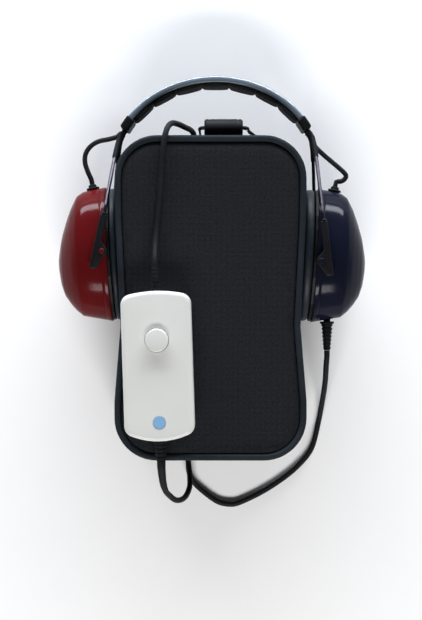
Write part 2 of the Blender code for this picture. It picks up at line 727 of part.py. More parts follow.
def make_handle():
    """Make the strap with its rolled ends, the grip round it, and the two wall anchors."""
    base_y, line = strap_line()
    half = STRAP_THICKNESS / 2
    rings = []
    for index, point in enumerate(line):
        before = line[max(0, index - 1)]
        after = line[min(len(line) - 1, index + 1)]
        along = (after - before).normalized()
        across = Vector((-along.y, along.x)) * half
        corners = (point + across, point - across)
        reach = HANDLE_BARREL if index in (0, len(line) - 1) else STRAP_WIDTH / 2
        low, high = HANDLE_HEIGHT - reach, HANDLE_HEIGHT + reach
        rings.append([Vector((*corners[0], low)), Vector((*corners[1], low)), Vector((*corners[1], high)),
                      Vector((*corners[0], high))])
    hinge = Vector(((HANDLE_LEFT_X + HANDLE_RIGHT_X) / 2, base_y, HANDLE_HEIGHT))
    strap = add_piece("handle_strap", loft(rings), woven_nylon(), origin=hinge)
    for name, end in (("left", line[0]), ("right", line[-1])):
        reach = Vector((STRAP_THICKNESS * 2, 0.0, 0.0))
        middle = Vector((*end, HANDLE_HEIGHT))
        barrel = add_cutter(f"add_strap_{name}", rod(HANDLE_BARREL, middle - reach, middle + reach, 10))
        combine(strap, barrel, "UNION")
    half_grip = GRIP_LENGTH / 2
    round_end = GRIP_DIAMETER / 8
    radius = GRIP_DIAMETER / 2
    bore = Vector((STRAP_WIDTH + 2 * TOUCH_GAP, STRAP_THICKNESS + 2 * TOUCH_GAP))
    profile = ((0.0, -half_grip), (radius - round_end, -half_grip), (radius, round_end - half_grip),
               (radius, half_grip - round_end), (radius - round_end, half_grip), (0.0, half_grip))
    grip = add_piece("handle_grip", turned(profile, GRIP_CENTRE, (1, 0, 0), 16), black_rubber())
    slot = block((GRIP_LENGTH + CUT_OVERRUN, bore.y, bore.x), GRIP_CENTRE)
    combine(grip, add_cutter("cut_grip_slot", slot), "DIFFERENCE")
    for name, x in (("left", HANDLE_LEFT_X), ("right", HANDLE_RIGHT_X)):
        centre = (x, WALL_Y + TOUCH_GAP + ANCHOR_SIZE.y / 2, HANDLE_HEIGHT)
        add_piece(f"handle_anchor_{name}", block(ANCHOR_SIZE, centre), woven_nylon())


# Headband


def band_point(angle, depth, height):
    """Give a point of the headband: angle from +X, depth below its outer surface, height."""
    outward = Vector((math.cos(angle) / BAND_RADIUS_X, math.sin(angle) / BAND_RADIUS_Y)).normalized()
    surface = BAND_CENTRE + Vector((BAND_RADIUS_X * math.cos(angle), BAND_RADIUS_Y * math.sin(angle)))
    place = surface - outward * depth
    return Vector((place.x, place.y, HEADSET_HEIGHT + height))


def band_sweep(section, start, end, steps):
    """Sweep a cross-section of depth and height along the headband."""
    rings = []
    for index in range(steps + 1):
        angle = start + (end - start) * index / steps
        rings.append([band_point(angle, depth, height) for depth, height in section(index / steps)])
    return rings


def cover_section(_share):
    """Give the cover's channel section: a skin with a lip down each edge."""
    half = BAND_WIDTH / 2
    wall = BAND_COVER
    crown = wall / 2
    return ((crown, -half), (0.0, wall - half), (0.0, half - wall), (crown, half), (BAND_LIP, half),
            (BAND_LIP, half - wall), (wall, half - wall), (wall, wall - half), (BAND_LIP, wall - half),
            (BAND_LIP, -half))


def pad_section(share):
    """Give the pad's section, which swells and draws in as its lobes do."""
    half = BAND_WIDTH / 2 - BAND_COVER / 2
    lobe = abs(math.sin(math.pi * BAND_LOBES * share)) ** LOBE_FULLNESS
    top = BAND_LIP + TOUCH_GAP
    bottom = top + BAND_PAD_DEPTH - BAND_GROOVE * (1 - lobe)
    bulge = half - BAND_GROOVE * (1 - lobe) / 2
    round_off = BAND_PAD_DEPTH / 4
    return ((top, -bulge), (top, bulge), (bottom - round_off, bulge), (bottom, bulge - round_off),
            (bottom, round_off - bulge), (bottom - round_off, -bulge))


def block_sections():
    """Give the end block's outer and inner sections, which close round both wires."""
    half = BAND_WIDTH / 2 + BLOCK_WALL / 2
    low = BAND_LIP + BLOCK_WALL + 2 * TOUCH_GAP
    wall = BLOCK_WALL
    outer = ((-wall / 2, -half), (-wall / 2, half), (low, half), (low, -half))
    inner = ((wall / 2, wall - half), (wall / 2, half - wall), (low - wall, half - wall),
             (low - wall, wall - half))
    return outer, inner


def end_block(name, start, end):
    """Make a hollow end block, open at both ends for the wires and the cord."""
    outer, inner = block_sections()
    steps = 3
    rings = band_sweep(lambda _share: outer, start, end, steps)
    rings += list(reversed(band_sweep(lambda _share: inner, start, end, steps)))
    add_piece(name, loft(rings, joined=True), black_plastic())


def arm_axis(arm):
    """Give an arm's downward direction."""
    return (arm["foot"] - arm["mouth"]).normalized()


def wire_route(side):
    """Give a wire's middle line from one arm over the band to the other, at the front or the rear."""
    arm_height = HEADSET_HEIGHT + side * ARM_SPREAD
    band_height = side * WIRE_SPREAD
    block_end = BAND_END_ANGLE - BLOCK_ANGLE
    points = []
    for arm in ARMS.values():
        down = arm_axis(arm)
        inside = [arm["mouth"] + down * reach for reach in (WIRE_IN_ARM, WIRE_IN_ARM / 2, -ARM_WIDTH)]
        line = [Vector((*place, arm_height)) for place in inside]
        angle = block_end if arm["side"] > 0 else math.pi - block_end
        bend_angle = angle - arm["side"] * WIRE_BEND_ANGLE
        bend = band_point(bend_angle, WIRE_DEPTH, band_height + side * WIRE_SPREAD / 2)
        line.append(bend)
        points.append(line)
    start = math.pi - block_end
    arch = [band_point(start + (block_end - start) * index / WIRE_ARCH_STEPS, WIRE_DEPTH, band_height)
            for index in range(WIRE_ARCH_STEPS + 1)]
    return points[0] + arch + list(reversed(points[1]))


def wire_points(side):
    """Keep the wire dead straight in each arm and smooth between them."""
    route = wire_route(side)
    kept = WIRE_STRAIGHT_POINTS - 1
    middle = smooth_route(route[kept:-kept], WIRE_DIAMETER * 3)
    return route[:kept] + middle + route[-kept:]


def make_headband():
    """Make the cover, the lobed pad, the end blocks and the two spring wires."""
    start = math.pi - BAND_END_ANGLE
    end = BAND_END_ANGLE
    cover = loft(band_sweep(cover_section, start, end, COVER_STEPS))
    add_piece("headband_cover", cover, band_plastic(), smooth_angle=EDGE_ANGLE)
    add_piece("headband_pad", loft(band_sweep(pad_section, start, end, 6 * BAND_LOBES)), pad_foam())
    gap = TOUCH_GAP / BAND_RADIUS_Y
    end_block("red_end_block", start + gap, start + BLOCK_ANGLE)
    end_block("blue_end_block", end - gap, end - BLOCK_ANGLE)
    for name, side in (("front_spring_wire", 1), ("rear_spring_wire", -1)):
        cord(name, wire_points(side), WIRE_DIAMETER, bright_steel(), resolution=1)


# Arms and ear cups


def cup_point(side, depth, along, height):
    """Give a world point of a cup: depth out from its rim, along its rim line upwards, height."""
    x = CUP_RIM_X[side] + depth * math.cos(CUP_TILT) + along * math.sin(CUP_TILT)
    y = CUP_CENTRE_Y[side] + along * math.cos(CUP_TILT) - depth * math.sin(CUP_TILT)
    return Vector((side * x, y, HEADSET_HEIGHT + height))


def cup_direction(side, depth, along):
    """Give a world direction from the cup's own outward and upward shares."""
    return (cup_point(side, depth, along, 0.0) - cup_point(side, 0.0, 0.0, 0.0)).normalized()


def pivot_place(arm):
    """Give the world X and Y of a cup's pivot, just inside the rim."""
    along = (arm["pivot_y"] - CUP_CENTRE_Y[arm["side"]]) / math.cos(CUP_TILT)
    place = cup_point(arm["side"], PIVOT_DEPTH, along, 0.0)
    return Vector((place.x, place.y))


def arm_outline(arm):
    """Give the outline of an arm: a straight sleeve with a web to the round boss at the pivot."""
    down = arm_axis(arm)
    inward = Vector((-arm["side"] * abs(down.y), -abs(down.x)))
    offset = pivot_place(arm) - arm["mouth"]
    along, across = offset.dot(down), offset.dot(inward)
    half = ARM_WIDTH / 2
    boss = PIVOT_BOSS / 2
    points = [Vector((0.0, -half)), Vector((ARM_LENGTH, -half)), Vector((ARM_LENGTH, half))]
    points += arc_points((along, across), boss, BOSS_START, BOSS_END, 8)
    points += [Vector((along - boss * 2, half)), Vector((0.0, half))]
    return [arm["mouth"] + down * point.x + inward * point.y for point in points]


def make_arm(name, arm, end):
    """Make one arm: sleeve with its bore for the wire, web, boss and pivot pin."""
    middle = HEADSET_HEIGHT + end * ARM_SPREAD
    half = ARM_THICKNESS / 2
    outline = arm_outline(arm)
    piece = add_piece(name, loft((lift(outline, middle - half), lift(outline, middle + half))), black_plastic())
    down = arm_axis(arm)
    pivot = pivot_place(arm)
    pin_end = HEADSET_HEIGHT + end * (CUP_HALF_WIDTH - CUP_WALL - RUNNING_GAP)
    pin = add_cutter(f"add_{name}_pin", rod(PIVOT_PIN / 2, (*pivot, middle), (*pivot, pin_end)))
    combine(piece, pin, "UNION")
    mouth = arm["mouth"] - down * CUT_OVERRUN
    floor = arm["mouth"] + down * ARM_BORE_DEPTH
    bore = rod(WIRE_DIAMETER / 2 + RUNNING_GAP, (*mouth, middle), (*floor, middle), 12)
    combine(piece, add_cutter(f"cut_{name}_bore", bore), "DIFFERENCE")


def cup_profile(depth):
    """Read the cup's reach above and below its middle at a depth, from the shares of its half height."""
    share = depth / CUP_DEPTH
    for (start, top, bottom), (end, next_top, next_bottom) in zip(CUP_PROFILE_SHARES, CUP_PROFILE_SHARES[1:]):
        if share <= end:
            mix = (share - start) / (end - start)
            return (CUP_HALF_HEIGHT * (top + (next_top - top) * mix),
                    CUP_HALF_HEIGHT * (bottom + (next_bottom - bottom) * mix))
    _, top, bottom = CUP_PROFILE_SHARES[-1]
    return CUP_HALF_HEIGHT * top, CUP_HALF_HEIGHT * bottom


def oval_ring(side, depth, inset, steps=CUP_STEPS, profile_depth=None):
    """Give an oval ring of the cup at a depth, drawn in by an inset."""
    top, bottom = cup_profile(depth if profile_depth is None else profile_depth)
    middle = (top - bottom) / 2
    half_height = (top + bottom) / 2
    half_width = half_height * CUP_HALF_WIDTH / CUP_HALF_HEIGHT
    ring = []
    for index in range(steps):
        angle = math.tau * index / steps
        ring.append(cup_point(side, depth, middle + (half_height - inset) * math.cos(angle),
                              (half_width - inset) * math.sin(angle)))
    return ring


def inner_cup_depths():
    """Give the depths of the cup's inner rings, from the rim to the flat of the hollow."""
    depths = [share * CUP_DEPTH for share, _, _ in CUP_PROFILE_SHARES]
    return [depth for depth in depths if depth < CUP_DEPTH - 2 * CUP_WALL]


def cup_shell(name, side, material, origin):
    """Make a hollow cup: outer dome rings, then the inner ones back to the rim."""
    outer = [oval_ring(side, share * CUP_DEPTH, 0.0) for share, _, _ in reversed(CUP_PROFILE_SHARES)]
    inner = [oval_ring(side, depth, CUP_WALL) for depth in inner_cup_depths()]
    return add_piece(name, loft(outer + inner), material, origin=origin, smooth_angle=EDGE_ANGLE)


def cup_plate(name, side, origin):
    """Make the flat plate that closes the cup."""
    rings = (oval_ring(side, PLATE_BACK, CUSHION_INSET, profile_depth=0.0),
             oval_ring(side, -TOUCH_GAP, CUSHION_INSET, profile_depth=0.0))
    add_piece(name, loft(rings), black_plastic(), origin=origin)


def cushion_ring(side, share, inset):
    """Give a ring of the cushion between the plate at share 0 and the case's wall at share 1."""
    moved = []
    for point in oval_ring(side, CUSHION_BACK, CUSHION_INSET + inset, CUSHION_STEPS, profile_depth=0.0):
        wall = side * (case_half_width(point.y) + TOUCH_GAP)
        moved.append(Vector((point.x + (wall - point.x) * share, point.y, point.z)))
    return moved


def ear_cushion(name, side, origin):
    """Make a crowned ring cushion, pressed flat against the case and drawn in at its seams."""
    seam = CUSHION_WALL / 5
    draw_in = (seam, seam / 4, 0.0, seam / 4, seam)
    rings = [cushion_ring(side, share, inset) for share, inset in zip(CUSHION_SHARES, draw_in)]
    rings += [cushion_ring(side, share, CUSHION_WALL - inset)
              for share, inset in reversed(list(zip(CUSHION_SHARES, draw_in)))]
    add_piece(name, loft(rings, joined=True), cushion_leather(), origin=origin, smooth_angle=EDGE_ANGLE)


def foam_liner(name, side, origin):
    """Make the foam that lines the cup, with a round well towards the driver."""
    margin = CUP_WALL + TOUCH_GAP
    last = inner_cup_depths()[-1] - TOUCH_GAP
    depths = (FOAM_START, (FOAM_START + last) / 2, last)
    outer = [oval_ring(side, depth, margin + CUP_WALL / 2, FOAM_STEPS) for depth in reversed(depths)]
    well = [oval_ring(side, depth, margin + FOAM_BORE, FOAM_STEPS)
            for depth in (FOAM_START, FOAM_START + FOAM_BORE)]
    add_piece(name, loft(outer + well), pad_foam(), origin=origin)


def grommet(name, side, depth, lean, origin):
    """Make the cable grommet on top of a cup, its neck through the shell."""
    top, _ = cup_profile(depth)
    up = cup_direction(side, math.sin(lean), math.cos(lean))
    seat = cup_point(side, depth, top, 0.0) + up * TOUCH_GAP
    flange_top = GROMMET_HEIGHT * GROMMET_LIP_SHARE
    profile = ((0.0, -GROMMET_NECK_LENGTH), (GROMMET_NECK, -GROMMET_NECK_LENGTH), (GROMMET_NECK, 0.0),
               (GROMMET_FLANGE, 0.0), (GROMMET_FLANGE, flange_top), (GROMMET_COLLAR, flange_top),
               (GROMMET_COLLAR, GROMMET_HEIGHT), (0.0, GROMMET_HEIGHT))
    add_piece(name, turned(profile, seat, up, 12), black_rubber(), origin=origin)
    return seat, up


def shell_hole(name, seat, axis, radius):
    """Make a cutter for a neck that passes through the shell."""
    start = seat + axis * CUT_OVERRUN
    end = seat - axis * (GROMMET_NECK_LENGTH + CUT_OVERRUN)
    return add_cutter(name, rod(radius + TOUCH_GAP, start, end, 16))


def relief_seat():
    """Give the place on the blue cup's lower side where the strain relief's flange sits."""
    _, bottom = cup_profile(CUP_RELIEF_DEPTH - CUP_RELIEF_FLANGE)
    return cup_point(1, CUP_RELIEF_DEPTH, -bottom - TOUCH_GAP, 0.0)


def relief_tip():
    return relief_seat() + Vector((0.0, -CUP_RELIEF_LENGTH, 0.0))


def cup_relief(origin):
    """Make the ribbed strain relief under the blue cup, its neck through the shell."""
    seat = relief_seat()
    down = Vector((0.0, -1.0, 0.0))
    profile = [(0.0, -GROMMET_NECK_LENGTH), (GROMMET_NECK, -GROMMET_NECK_LENGTH), (GROMMET_NECK, 0.0),
               (CUP_RELIEF_FLANGE, 0.0), (CUP_RELIEF_FLANGE, CUP_RELIEF_FLANGE / 3)]
    profile += ribs(CUP_RELIEF_FLANGE / 3, CUP_RELIEF_LENGTH, CUP_RELIEF_ROOT, CUP_RELIEF_TIP, CUP_RELIEF_RIBS)
    add_piece("lead_strain_relief", turned(profile, seat, down, 12), black_rubber(), origin=origin)
    return seat, down


def ribs(start, end, first_radius, last_radius, count):
    """Give the profile of a tapering row of ribs, which ends on the axis."""
    points = []
    pitch = (end - start) / count
    for index in range(count):
        share = index / max(1, count - 1)
        radius = first_radius + (last_radius - first_radius) * share
        low = start + pitch * index
        points += [(radius, low), (radius * RIB_WAIST_SHARE, low + pitch * RIB_LAND_SHARE)]
    points.append((0.0, end))
    return points


def make_cup(colour, material):
    """Make one ear cup with its arms, plate, cushion, driver, foam and grommet."""
    arm = ARMS[colour]
    side = arm["side"]
    pivot = Vector((*pivot_place(arm), HEADSET_HEIGHT))
    for place, end in (("front", 1), ("rear", -1)):
        make_arm(f"{colour}_{place}_arm", arm, end)
    shell = cup_shell(f"{colour}_cup_shell", side, material, pivot)
    reach = UP * (CUP_HALF_WIDTH + CUT_OVERRUN)
    pivot_cut = rod(PIVOT_PIN / 2 + RUNNING_GAP, pivot - reach, pivot + reach)
    combine(shell, add_cutter(f"cut_{colour}_pivot", pivot_cut), "DIFFERENCE")
    seat, up = grommet(f"{colour}_cable_grommet", side, arm["cable_depth"], arm["cable_lean"], pivot)
    combine(shell, shell_hole(f"cut_{colour}_grommet", seat, up, GROMMET_NECK), "DIFFERENCE")
    if side > 0:
        root, down = cup_relief(pivot)
        combine(shell, shell_hole("cut_blue_relief", root, down, GROMMET_NECK), "DIFFERENCE")
    cup_plate(f"{colour}_cup_plate", side, pivot)
    ear_cushion(f"{colour}_ear_cushion", side, pivot)
    foam_liner(f"{colour}_foam_liner", side, pivot)
    driver_seat = cup_point(side, 0.0, 0.0, 0.0)
    radius = DRIVER_DIAMETER / 2
    magnet = radius * MAGNET_SHARE
    profile = ((0.0, 0.0), (radius, 0.0), (radius, DRIVER_DEPTH / 3), (magnet, DRIVER_DEPTH / 3),
               (magnet, DRIVER_DEPTH), (0.0, DRIVER_DEPTH))
    outward = cup_direction(side, 1.0, 0.0)
    add_piece(f"{colour}_driver", turned(profile, driver_seat, outward, 18), bright_steel(), origin=pivot)
    return seat + up * GROMMET_HEIGHT, up


def link_cord(colour, route, seat, up):
    """Make the short cord from an end block to a cup's grommet, straight where it enters."""
    start = (route[0], (route[1] - route[0]).normalized())
    line = line_between(start, route[1:], (seat, up), LINK_STEP / 2, LINK_DIAMETER)
    print(colour, "link cord length, m:", round(chain_length(line), 3))
    cord(f"{colour}_link_cord", line, LINK_DIAMETER, black_rubber())


# Handset


def handset_place(across, along, height):
    """Give a world point of the handset from its own across, along and height."""
    spun = Vector((across, along)).copy()
    spun.rotate(Matrix.Rotation(HANDSET_TURN, 2))
    return Vector((HANDSET_CENTRE.x + spun.x, HANDSET_CENTRE.y + spun.y, height))


def bowed_end(half_width, reach, corner, bow):
    """Give one end of the handset's outline, from its right side to its left, bowed outwards."""
    inner = half_width - corner
    lean = math.atan(2 * bow / inner)
    half_span = inner + corner * math.sin(lean)
    rise = half_span * math.tan(lean) / 2
    corner_y = reach - rise - corner * math.cos(lean)
    right = arc_points((inner, corner_y), corner, 0.0, math.pi / 2 - lean, 4)
    middle = [Vector((half_span * share, reach - rise * share * share)) for share in HANDSET_BOW_SHARES]
    left = [Vector((-point.x, point.y)) for point in reversed(right)]
    return right + middle + left


def handset_outline(inset):
    """Give the handset's outline in its own frame, counter-clockwise, drawn in by an inset."""
    half_width = HANDSET_WIDTH / 2 - inset
    reach = HANDSET_LENGTH / 2 - inset
    corner = HANDSET_CORNER - inset * CORNER_INSET_SHARE
    top = bowed_end(half_width, reach, corner, HANDSET_TOP_BOW)
    bottom = [Vector((-p.x, -p.y)) for p in bowed_end(half_width, reach, corner, HANDSET_BOTTOM_BOW)]
    return top + bottom


def handset_ring(inset, height):
    return [handset_place(point.x, point.y, height) for point in handset_outline(inset)]


def rounded_levels(height, toward, radius, steps=3):
    """Give inset and height pairs round an edge, from the flat face to the side."""
    levels = []
    for index in range(steps + 1):
        angle = math.pi / 2 * index / steps
        levels.append((radius * (1 - math.sin(angle)), height - toward * radius * (1 - math.cos(angle))))
    return levels


def handset_shell(name, face, toward, seam):
    """Make one half of the handset: rounded outside, hollow inside."""
    outer = rounded_levels(face, toward, HANDSET_EDGE) + [(0.0, seam)]
    wall = HANDSET_WALL
    inner_edge = HANDSET_EDGE - wall
    inner = rounded_levels(face - toward * wall, toward, inner_edge, 2)
    rings = [handset_ring(inset, height) for inset, height in outer]
    rings.append(handset_ring(wall, seam))
    rings += [handset_ring(wall + inset, height) for inset, height in reversed(inner)]
    return add_piece(name, loft(rings), white_plastic(), smooth_angle=EDGE_ANGLE)


def button_piece(material):
    """Make the response button: domed cap, retaining flange and stem."""
    radius = BUTTON_DIAMETER / 2
    under = HANDSET_TOP - HANDSET_WALL - TOUCH_GAP
    centre = handset_place(0.0, BUTTON_OFFSET, under)
    cap = HANDSET_TOP + BUTTON_PROUD - under
    edge = BUTTON_PROUD / 4
    flange = radius + BUTTON_FLANGE
    stem_end = -(under - BUTTON_FLANGE - board_top() - switch_height() - BUTTON_TRAVEL - TOUCH_GAP)
    profile = ((0.0, stem_end - BUTTON_FLANGE), (BUTTON_STEM, stem_end - BUTTON_FLANGE),
               (BUTTON_STEM, -BUTTON_FLANGE), (flange, -BUTTON_FLANGE), (flange, 0.0), (radius, 0.0),
               (radius, cap - edge * 2), (radius - edge / 3, cap - edge), (radius - edge, cap - edge / 3),
               (radius - edge * 3, cap), (0.0, cap))
    add_piece("response_button", turned(profile, centre, UP, 24), material, origin=centre,
              smooth_angle=EDGE_ANGLE)


def board_top():
    return HANDSET_BASE + HANDSET_WALL + BOARD_LIFT + TOUCH_GAP + BOARD_THICKNESS


def switch_height():
    return SWITCH_SIDE / 2 + TOUCH_GAP


def make_handset():
    """Make the handset's shells, board, switch, screws, disc and button."""
    seam = HANDSET_BASE + HANDSET_SPLIT
    front = handset_shell("handset_front_shell", HANDSET_TOP, 1, seam + TOUCH_GAP / 2)
    back = handset_shell("handset_back_shell", HANDSET_BASE, -1, seam - TOUCH_GAP / 2)
    hole_centre = handset_place(0.0, BUTTON_OFFSET, 0.0)
    hole = rod(BUTTON_DIAMETER / 2 + RUNNING_GAP, (hole_centre.x, hole_centre.y, seam),
               (hole_centre.x, hole_centre.y, HANDSET_TOP + CUT_OVERRUN), 24)
    combine(front, add_cutter("cut_button_hole", hole), "DIFFERENCE")
    disc_centre = handset_place(0.0, DISC_OFFSET, 0.0)
    pocket = rod(DISC_DIAMETER / 2 + TOUCH_GAP, (disc_centre.x, disc_centre.y, HANDSET_TOP - DISC_THICKNESS),
                 (disc_centre.x, disc_centre.y, HANDSET_TOP + CUT_OVERRUN), 32)
    combine(front, add_cutter("cut_disc_pocket", pocket), "DIFFERENCE")
    disc_low = HANDSET_TOP - DISC_THICKNESS + TOUCH_GAP
    disc = rod(DISC_DIAMETER / 2, (disc_centre.x, disc_centre.y, disc_low),
               (disc_centre.x, disc_centre.y, disc_low + DISC_THICKNESS), 32)
    add_piece("blue_disc", disc, disc_blue())
    floor = HANDSET_BASE + HANDSET_WALL
    for number, end in ((1, 1), (2, -1)):
        place = handset_place(0.0, end * SCREW_OFFSET, 0.0)
        post_low = seam + TOUCH_GAP / 2
        front_post = rod(POST_RADIUS, (place.x, place.y, floor + 2 * TOUCH_GAP),
                         (place.x, place.y, HANDSET_TOP - HANDSET_WALL / 2))
        combine(front, add_cutter(f"add_screw_post_{number}", front_post), "UNION")
        pilot = rod(SCREW_SHANK + TOUCH_GAP, (place.x, place.y, floor - TOUCH_GAP),
                    (place.x, place.y, post_low + HANDSET_WALL * 2), 12)
        combine(front, add_cutter(f"cut_pilot_{number}", pilot), "DIFFERENCE")
        hole = rod(SCREW_SHANK + TOUCH_GAP, (place.x, place.y, HANDSET_BASE - CUT_OVERRUN),
                   (place.x, place.y, floor + CUT_OVERRUN), 12)
        combine(back, add_cutter(f"cut_screw_hole_{number}", hole), "DIFFERENCE")
        sink = HANDSET_WALL / 2
        recess = rod(SCREW_HEAD + TOUCH_GAP, (place.x, place.y, HANDSET_BASE - CUT_OVERRUN),
                     (place.x, place.y, HANDSET_BASE + sink), 16)
        combine(back, add_cutter(f"cut_screw_head_{number}", recess), "DIFFERENCE")
        head_top = sink - TOUCH_GAP
        profile = ((0.0, 0.0), (SCREW_HEAD, 0.0), (SCREW_HEAD, head_top), (SCREW_SHANK, head_top),
                   (SCREW_SHANK, HANDSET_SPLIT), (0.0, HANDSET_SPLIT))
        seat = Vector((place.x, place.y, HANDSET_BASE))
        add_piece(f"handset_screw_{number}", turned(profile, seat, UP, 12), bright_steel())
    rest_middle = floor + (BOARD_LIFT - HANDSET_WALL) / 2
    for number, end in ((1, 1), (2, -1)):
        centre = handset_place(0.0, end * BOARD_LENGTH / 2 * BOARD_REST_SHARE, rest_middle)
        post = block((POST_RADIUS * 2, POST_RADIUS, BOARD_LIFT + HANDSET_WALL), centre, HANDSET_TURN)
        combine(back, add_cutter(f"add_board_rest_{number}", post), "UNION")
    board_centre = handset_place(0.0, 0.0, board_top() - BOARD_THICKNESS / 2)
    board = block((BOARD_WIDTH, BOARD_LENGTH, BOARD_THICKNESS), board_centre, HANDSET_TURN)
    add_piece("circuit_board", board, board_green())
    switch_centre = handset_place(0.0, BUTTON_OFFSET, board_top() + TOUCH_GAP + SWITCH_SIDE / 4)
    switch = block((SWITCH_SIDE, SWITCH_SIDE, SWITCH_SIDE / 2), switch_centre, HANDSET_TURN)
    add_piece("tact_switch", switch, black_plastic())
    button_piece(white_plastic())
    return handset_reliefs()


def handset_reliefs():
    """Make the ribbed strain reliefs on the handset's two ends."""
    height = HANDSET_BASE + HANDSET_HEIGHT / 2
    along = (handset_place(0.0, 1.0, 0.0) - handset_place(0.0, 0.0, 0.0)).normalized()
    half = HANDSET_LENGTH / 2 + TOUCH_GAP
    top_seat = handset_place(0.0, half, height)
    bottom_seat = handset_place(0.0, -half, height)
    top_profile = [(0.0, 0.0)] + ribs(0.0, RELIEF_TOP_LENGTH, RELIEF_TOP_RADIUS,
                                      LEAD_RADIUS * RELIEF_TIP_SHARE, RELIEF_TOP_RIBS)
    add_piece("handset_top_relief", turned(top_profile, top_seat, along, 12), black_rubber())
    bottom_profile = [(0.0, 0.0)] + ribs(0.0, RELIEF_BOTTOM_LENGTH, RELIEF_BOTTOM_RADIUS,
                                         BOOT_RADIUS * RELIEF_TIP_SHARE, RELIEF_BOTTOM_RIBS)
    add_piece("handset_bottom_relief", turned(bottom_profile, bottom_seat, -along, 12), black_rubber())
    return (top_seat + along * RELIEF_TOP_LENGTH, along), (bottom_seat - along * RELIEF_BOTTOM_LENGTH, -along)


# Leads


def line_between(start_end, route, stop_end, step, diameter):
    """Give a cord's line between two tips, each a place and its way out, straight for a diameter at both."""
    (start_tip, start_way), (stop_tip, stop_way) = start_end, stop_end
    start = start_tip + start_way * TOUCH_GAP
    stop = stop_tip + stop_way * TOUCH_GAP
    first = start_tip + start_way * diameter
    last = stop_tip + stop_way * diameter
    return [start] + smooth_route([first, *route, last], step, before=start, after=stop) + [stop]


def make_leads(cup_end, handset_ends):
    """Make the two leads, their coils inside the case, and the plug."""
    usb_end, headset_end = handset_ends
    rubber = black_rubber()
    headset_coil = coil_points(HEADSET_COIL_CENTRE, math.pi, HEADSET_COIL_TURNS, -1)
    usb_coil = coil_points(USB_COIL_CENTRE, math.pi, USB_COIL_TURNS, 1)
    for name, points in (("headset_lead_coil", headset_coil), ("usb_lead_coil", usb_coil)):
        print(name, "least gap to itself, mm:", round(least_gap(points, LEAD_DIAMETER) * 1000, 3),
              "length, m:", round(chain_length(points), 3))
        cord(name, with_straight_ends(points, LEAD_DIAMETER), LEAD_DIAMETER, rubber, resolution=1)
    outer = line_between(cup_end, on_case(HEADSET_LEAD_ROUTE), coil_end(headset_coil, True), LEAD_STEP,
                         LEAD_DIAMETER)
    usb = line_between(usb_end, on_case(USB_LEAD_ROUTE), coil_end(usb_coil, True), LEAD_STEP, LEAD_DIAMETER)
    loop = line_between(headset_end, on_case(HANDSET_LOOP_ROUTE), coil_end(headset_coil, False), LEAD_STEP / 2,
                        LEAD_DIAMETER)
    boot_points = round(BOOT_LENGTH / (LEAD_STEP / 2)) + 1
    boot = trimmed(loop[:boot_points], TOUCH_GAP)
    inner = [loop[boot_points - 1]] + loop[boot_points:-2:2] + loop[-2:]
    for name, line in (("headset_lead_outer", outer), ("headset_lead_inner", inner), ("usb_lead", usb)):
        print(name, "length, m:", round(chain_length(line), 3))
        cord(name, line, LEAD_DIAMETER, rubber)
    radii = [1.0 - (1.0 - LEAD_RADIUS / BOOT_RADIUS) * index / (len(boot) - 1) for index in range(len(boot))]
    cord("handset_lead_boot", boot, BOOT_RADIUS * 2, rubber, radii=radii)
    make_plug(usb_coil)


def coil_end(coil, at_start):
    """Give the tip of a coil's straight end and its way out."""
    ends = with_straight_ends(coil, LEAD_DIAMETER)
    tip, inner = (ends[0], ends[1]) if at_start else (ends[-1], ends[-2])
    return tip, (tip - inner).normalized()


def make_plug(coil):
    """Make the plug's moulded body and metal shell, past the coil's outer end on the case's floor."""
    tip, away = coil_end(coil, False)
    run = LEAD_DIAMETER * PLUG_RUN_SHARE
    drop = FLOOR + TOUCH_GAP + PLUG_BODY.z / 2
    bend = Vector((tip.x + away.x * run, tip.y + away.y * run, (tip.z + drop) / 2))
    straight = Vector((tip.x + away.x * run * 2, tip.y + away.y * run * 2, drop))
    back = Vector((0.0, -1.0, 0.0))
    line = line_between((tip, away), (bend,), (straight, back), LEAD_STEP / 2, LEAD_DIAMETER)
    cord("usb_lead_end", line, LEAD_DIAMETER, black_rubber())
    body_centre = straight + Vector((0.0, PLUG_BODY.y / 2, 0.0))
    body = block(PLUG_BODY, body_centre)
    ease_edges(body, PLUG_BODY.z / 6, 2)
    add_piece("usb_plug_body", body, black_rubber())
    width, length, height = PLUG_SHELL
    base = body_centre.y + PLUG_BODY.y / 2 + TOUCH_GAP
    outer = rectangle(body_centre.x, drop, width, height)
    inner = rectangle(body_centre.x, drop, width - 2 * PLUG_WALL, height - 2 * PLUG_WALL)
    rings = [at_y(outer, base), at_y(outer, base + length), at_y(inner, base + length),
             at_y(inner, base + PLUG_WALL)]
    core = rectangle(body_centre.x, drop + height / 5, width - 4 * PLUG_WALL, PLUG_CORE)
    rings += [at_y(core, base + PLUG_WALL), at_y(core, base + length * PLUG_CORE_SHARE)]
    add_piece("usb_plug_shell", loft(rings), bright_steel())


def rectangle(x, z, width, height):
    """Give four corners about a centre, counter-clockwise along +Y."""
    return ((x - width / 2, z - height / 2), (x + width / 2, z - height / 2), (x + width / 2, z + height / 2),
            (x - width / 2, z + height / 2))


def at_y(corners, y):
    return [Vector((x, y, z)) for x, z in corners]


def main():
    clear_scene()
    make_case()
    make_handle()
    make_headband()
    red_seat, red_up = make_cup("red", cup_red())
    blue_seat, blue_up = make_cup("blue", cup_blue())
    link_cord("red", beside_case(-1, RED_LINK_ROUTE), red_seat, red_up)
    link_cord("blue", beside_case(1, BLUE_LINK_ROUTE), blue_seat, blue_up)
    handset_ends = make_handset()
    cup_end = (relief_tip(), Vector((0.0, -1.0, 0.0)))
    make_leads(cup_end, handset_ends)


if __name__ == "__main__":
    main()
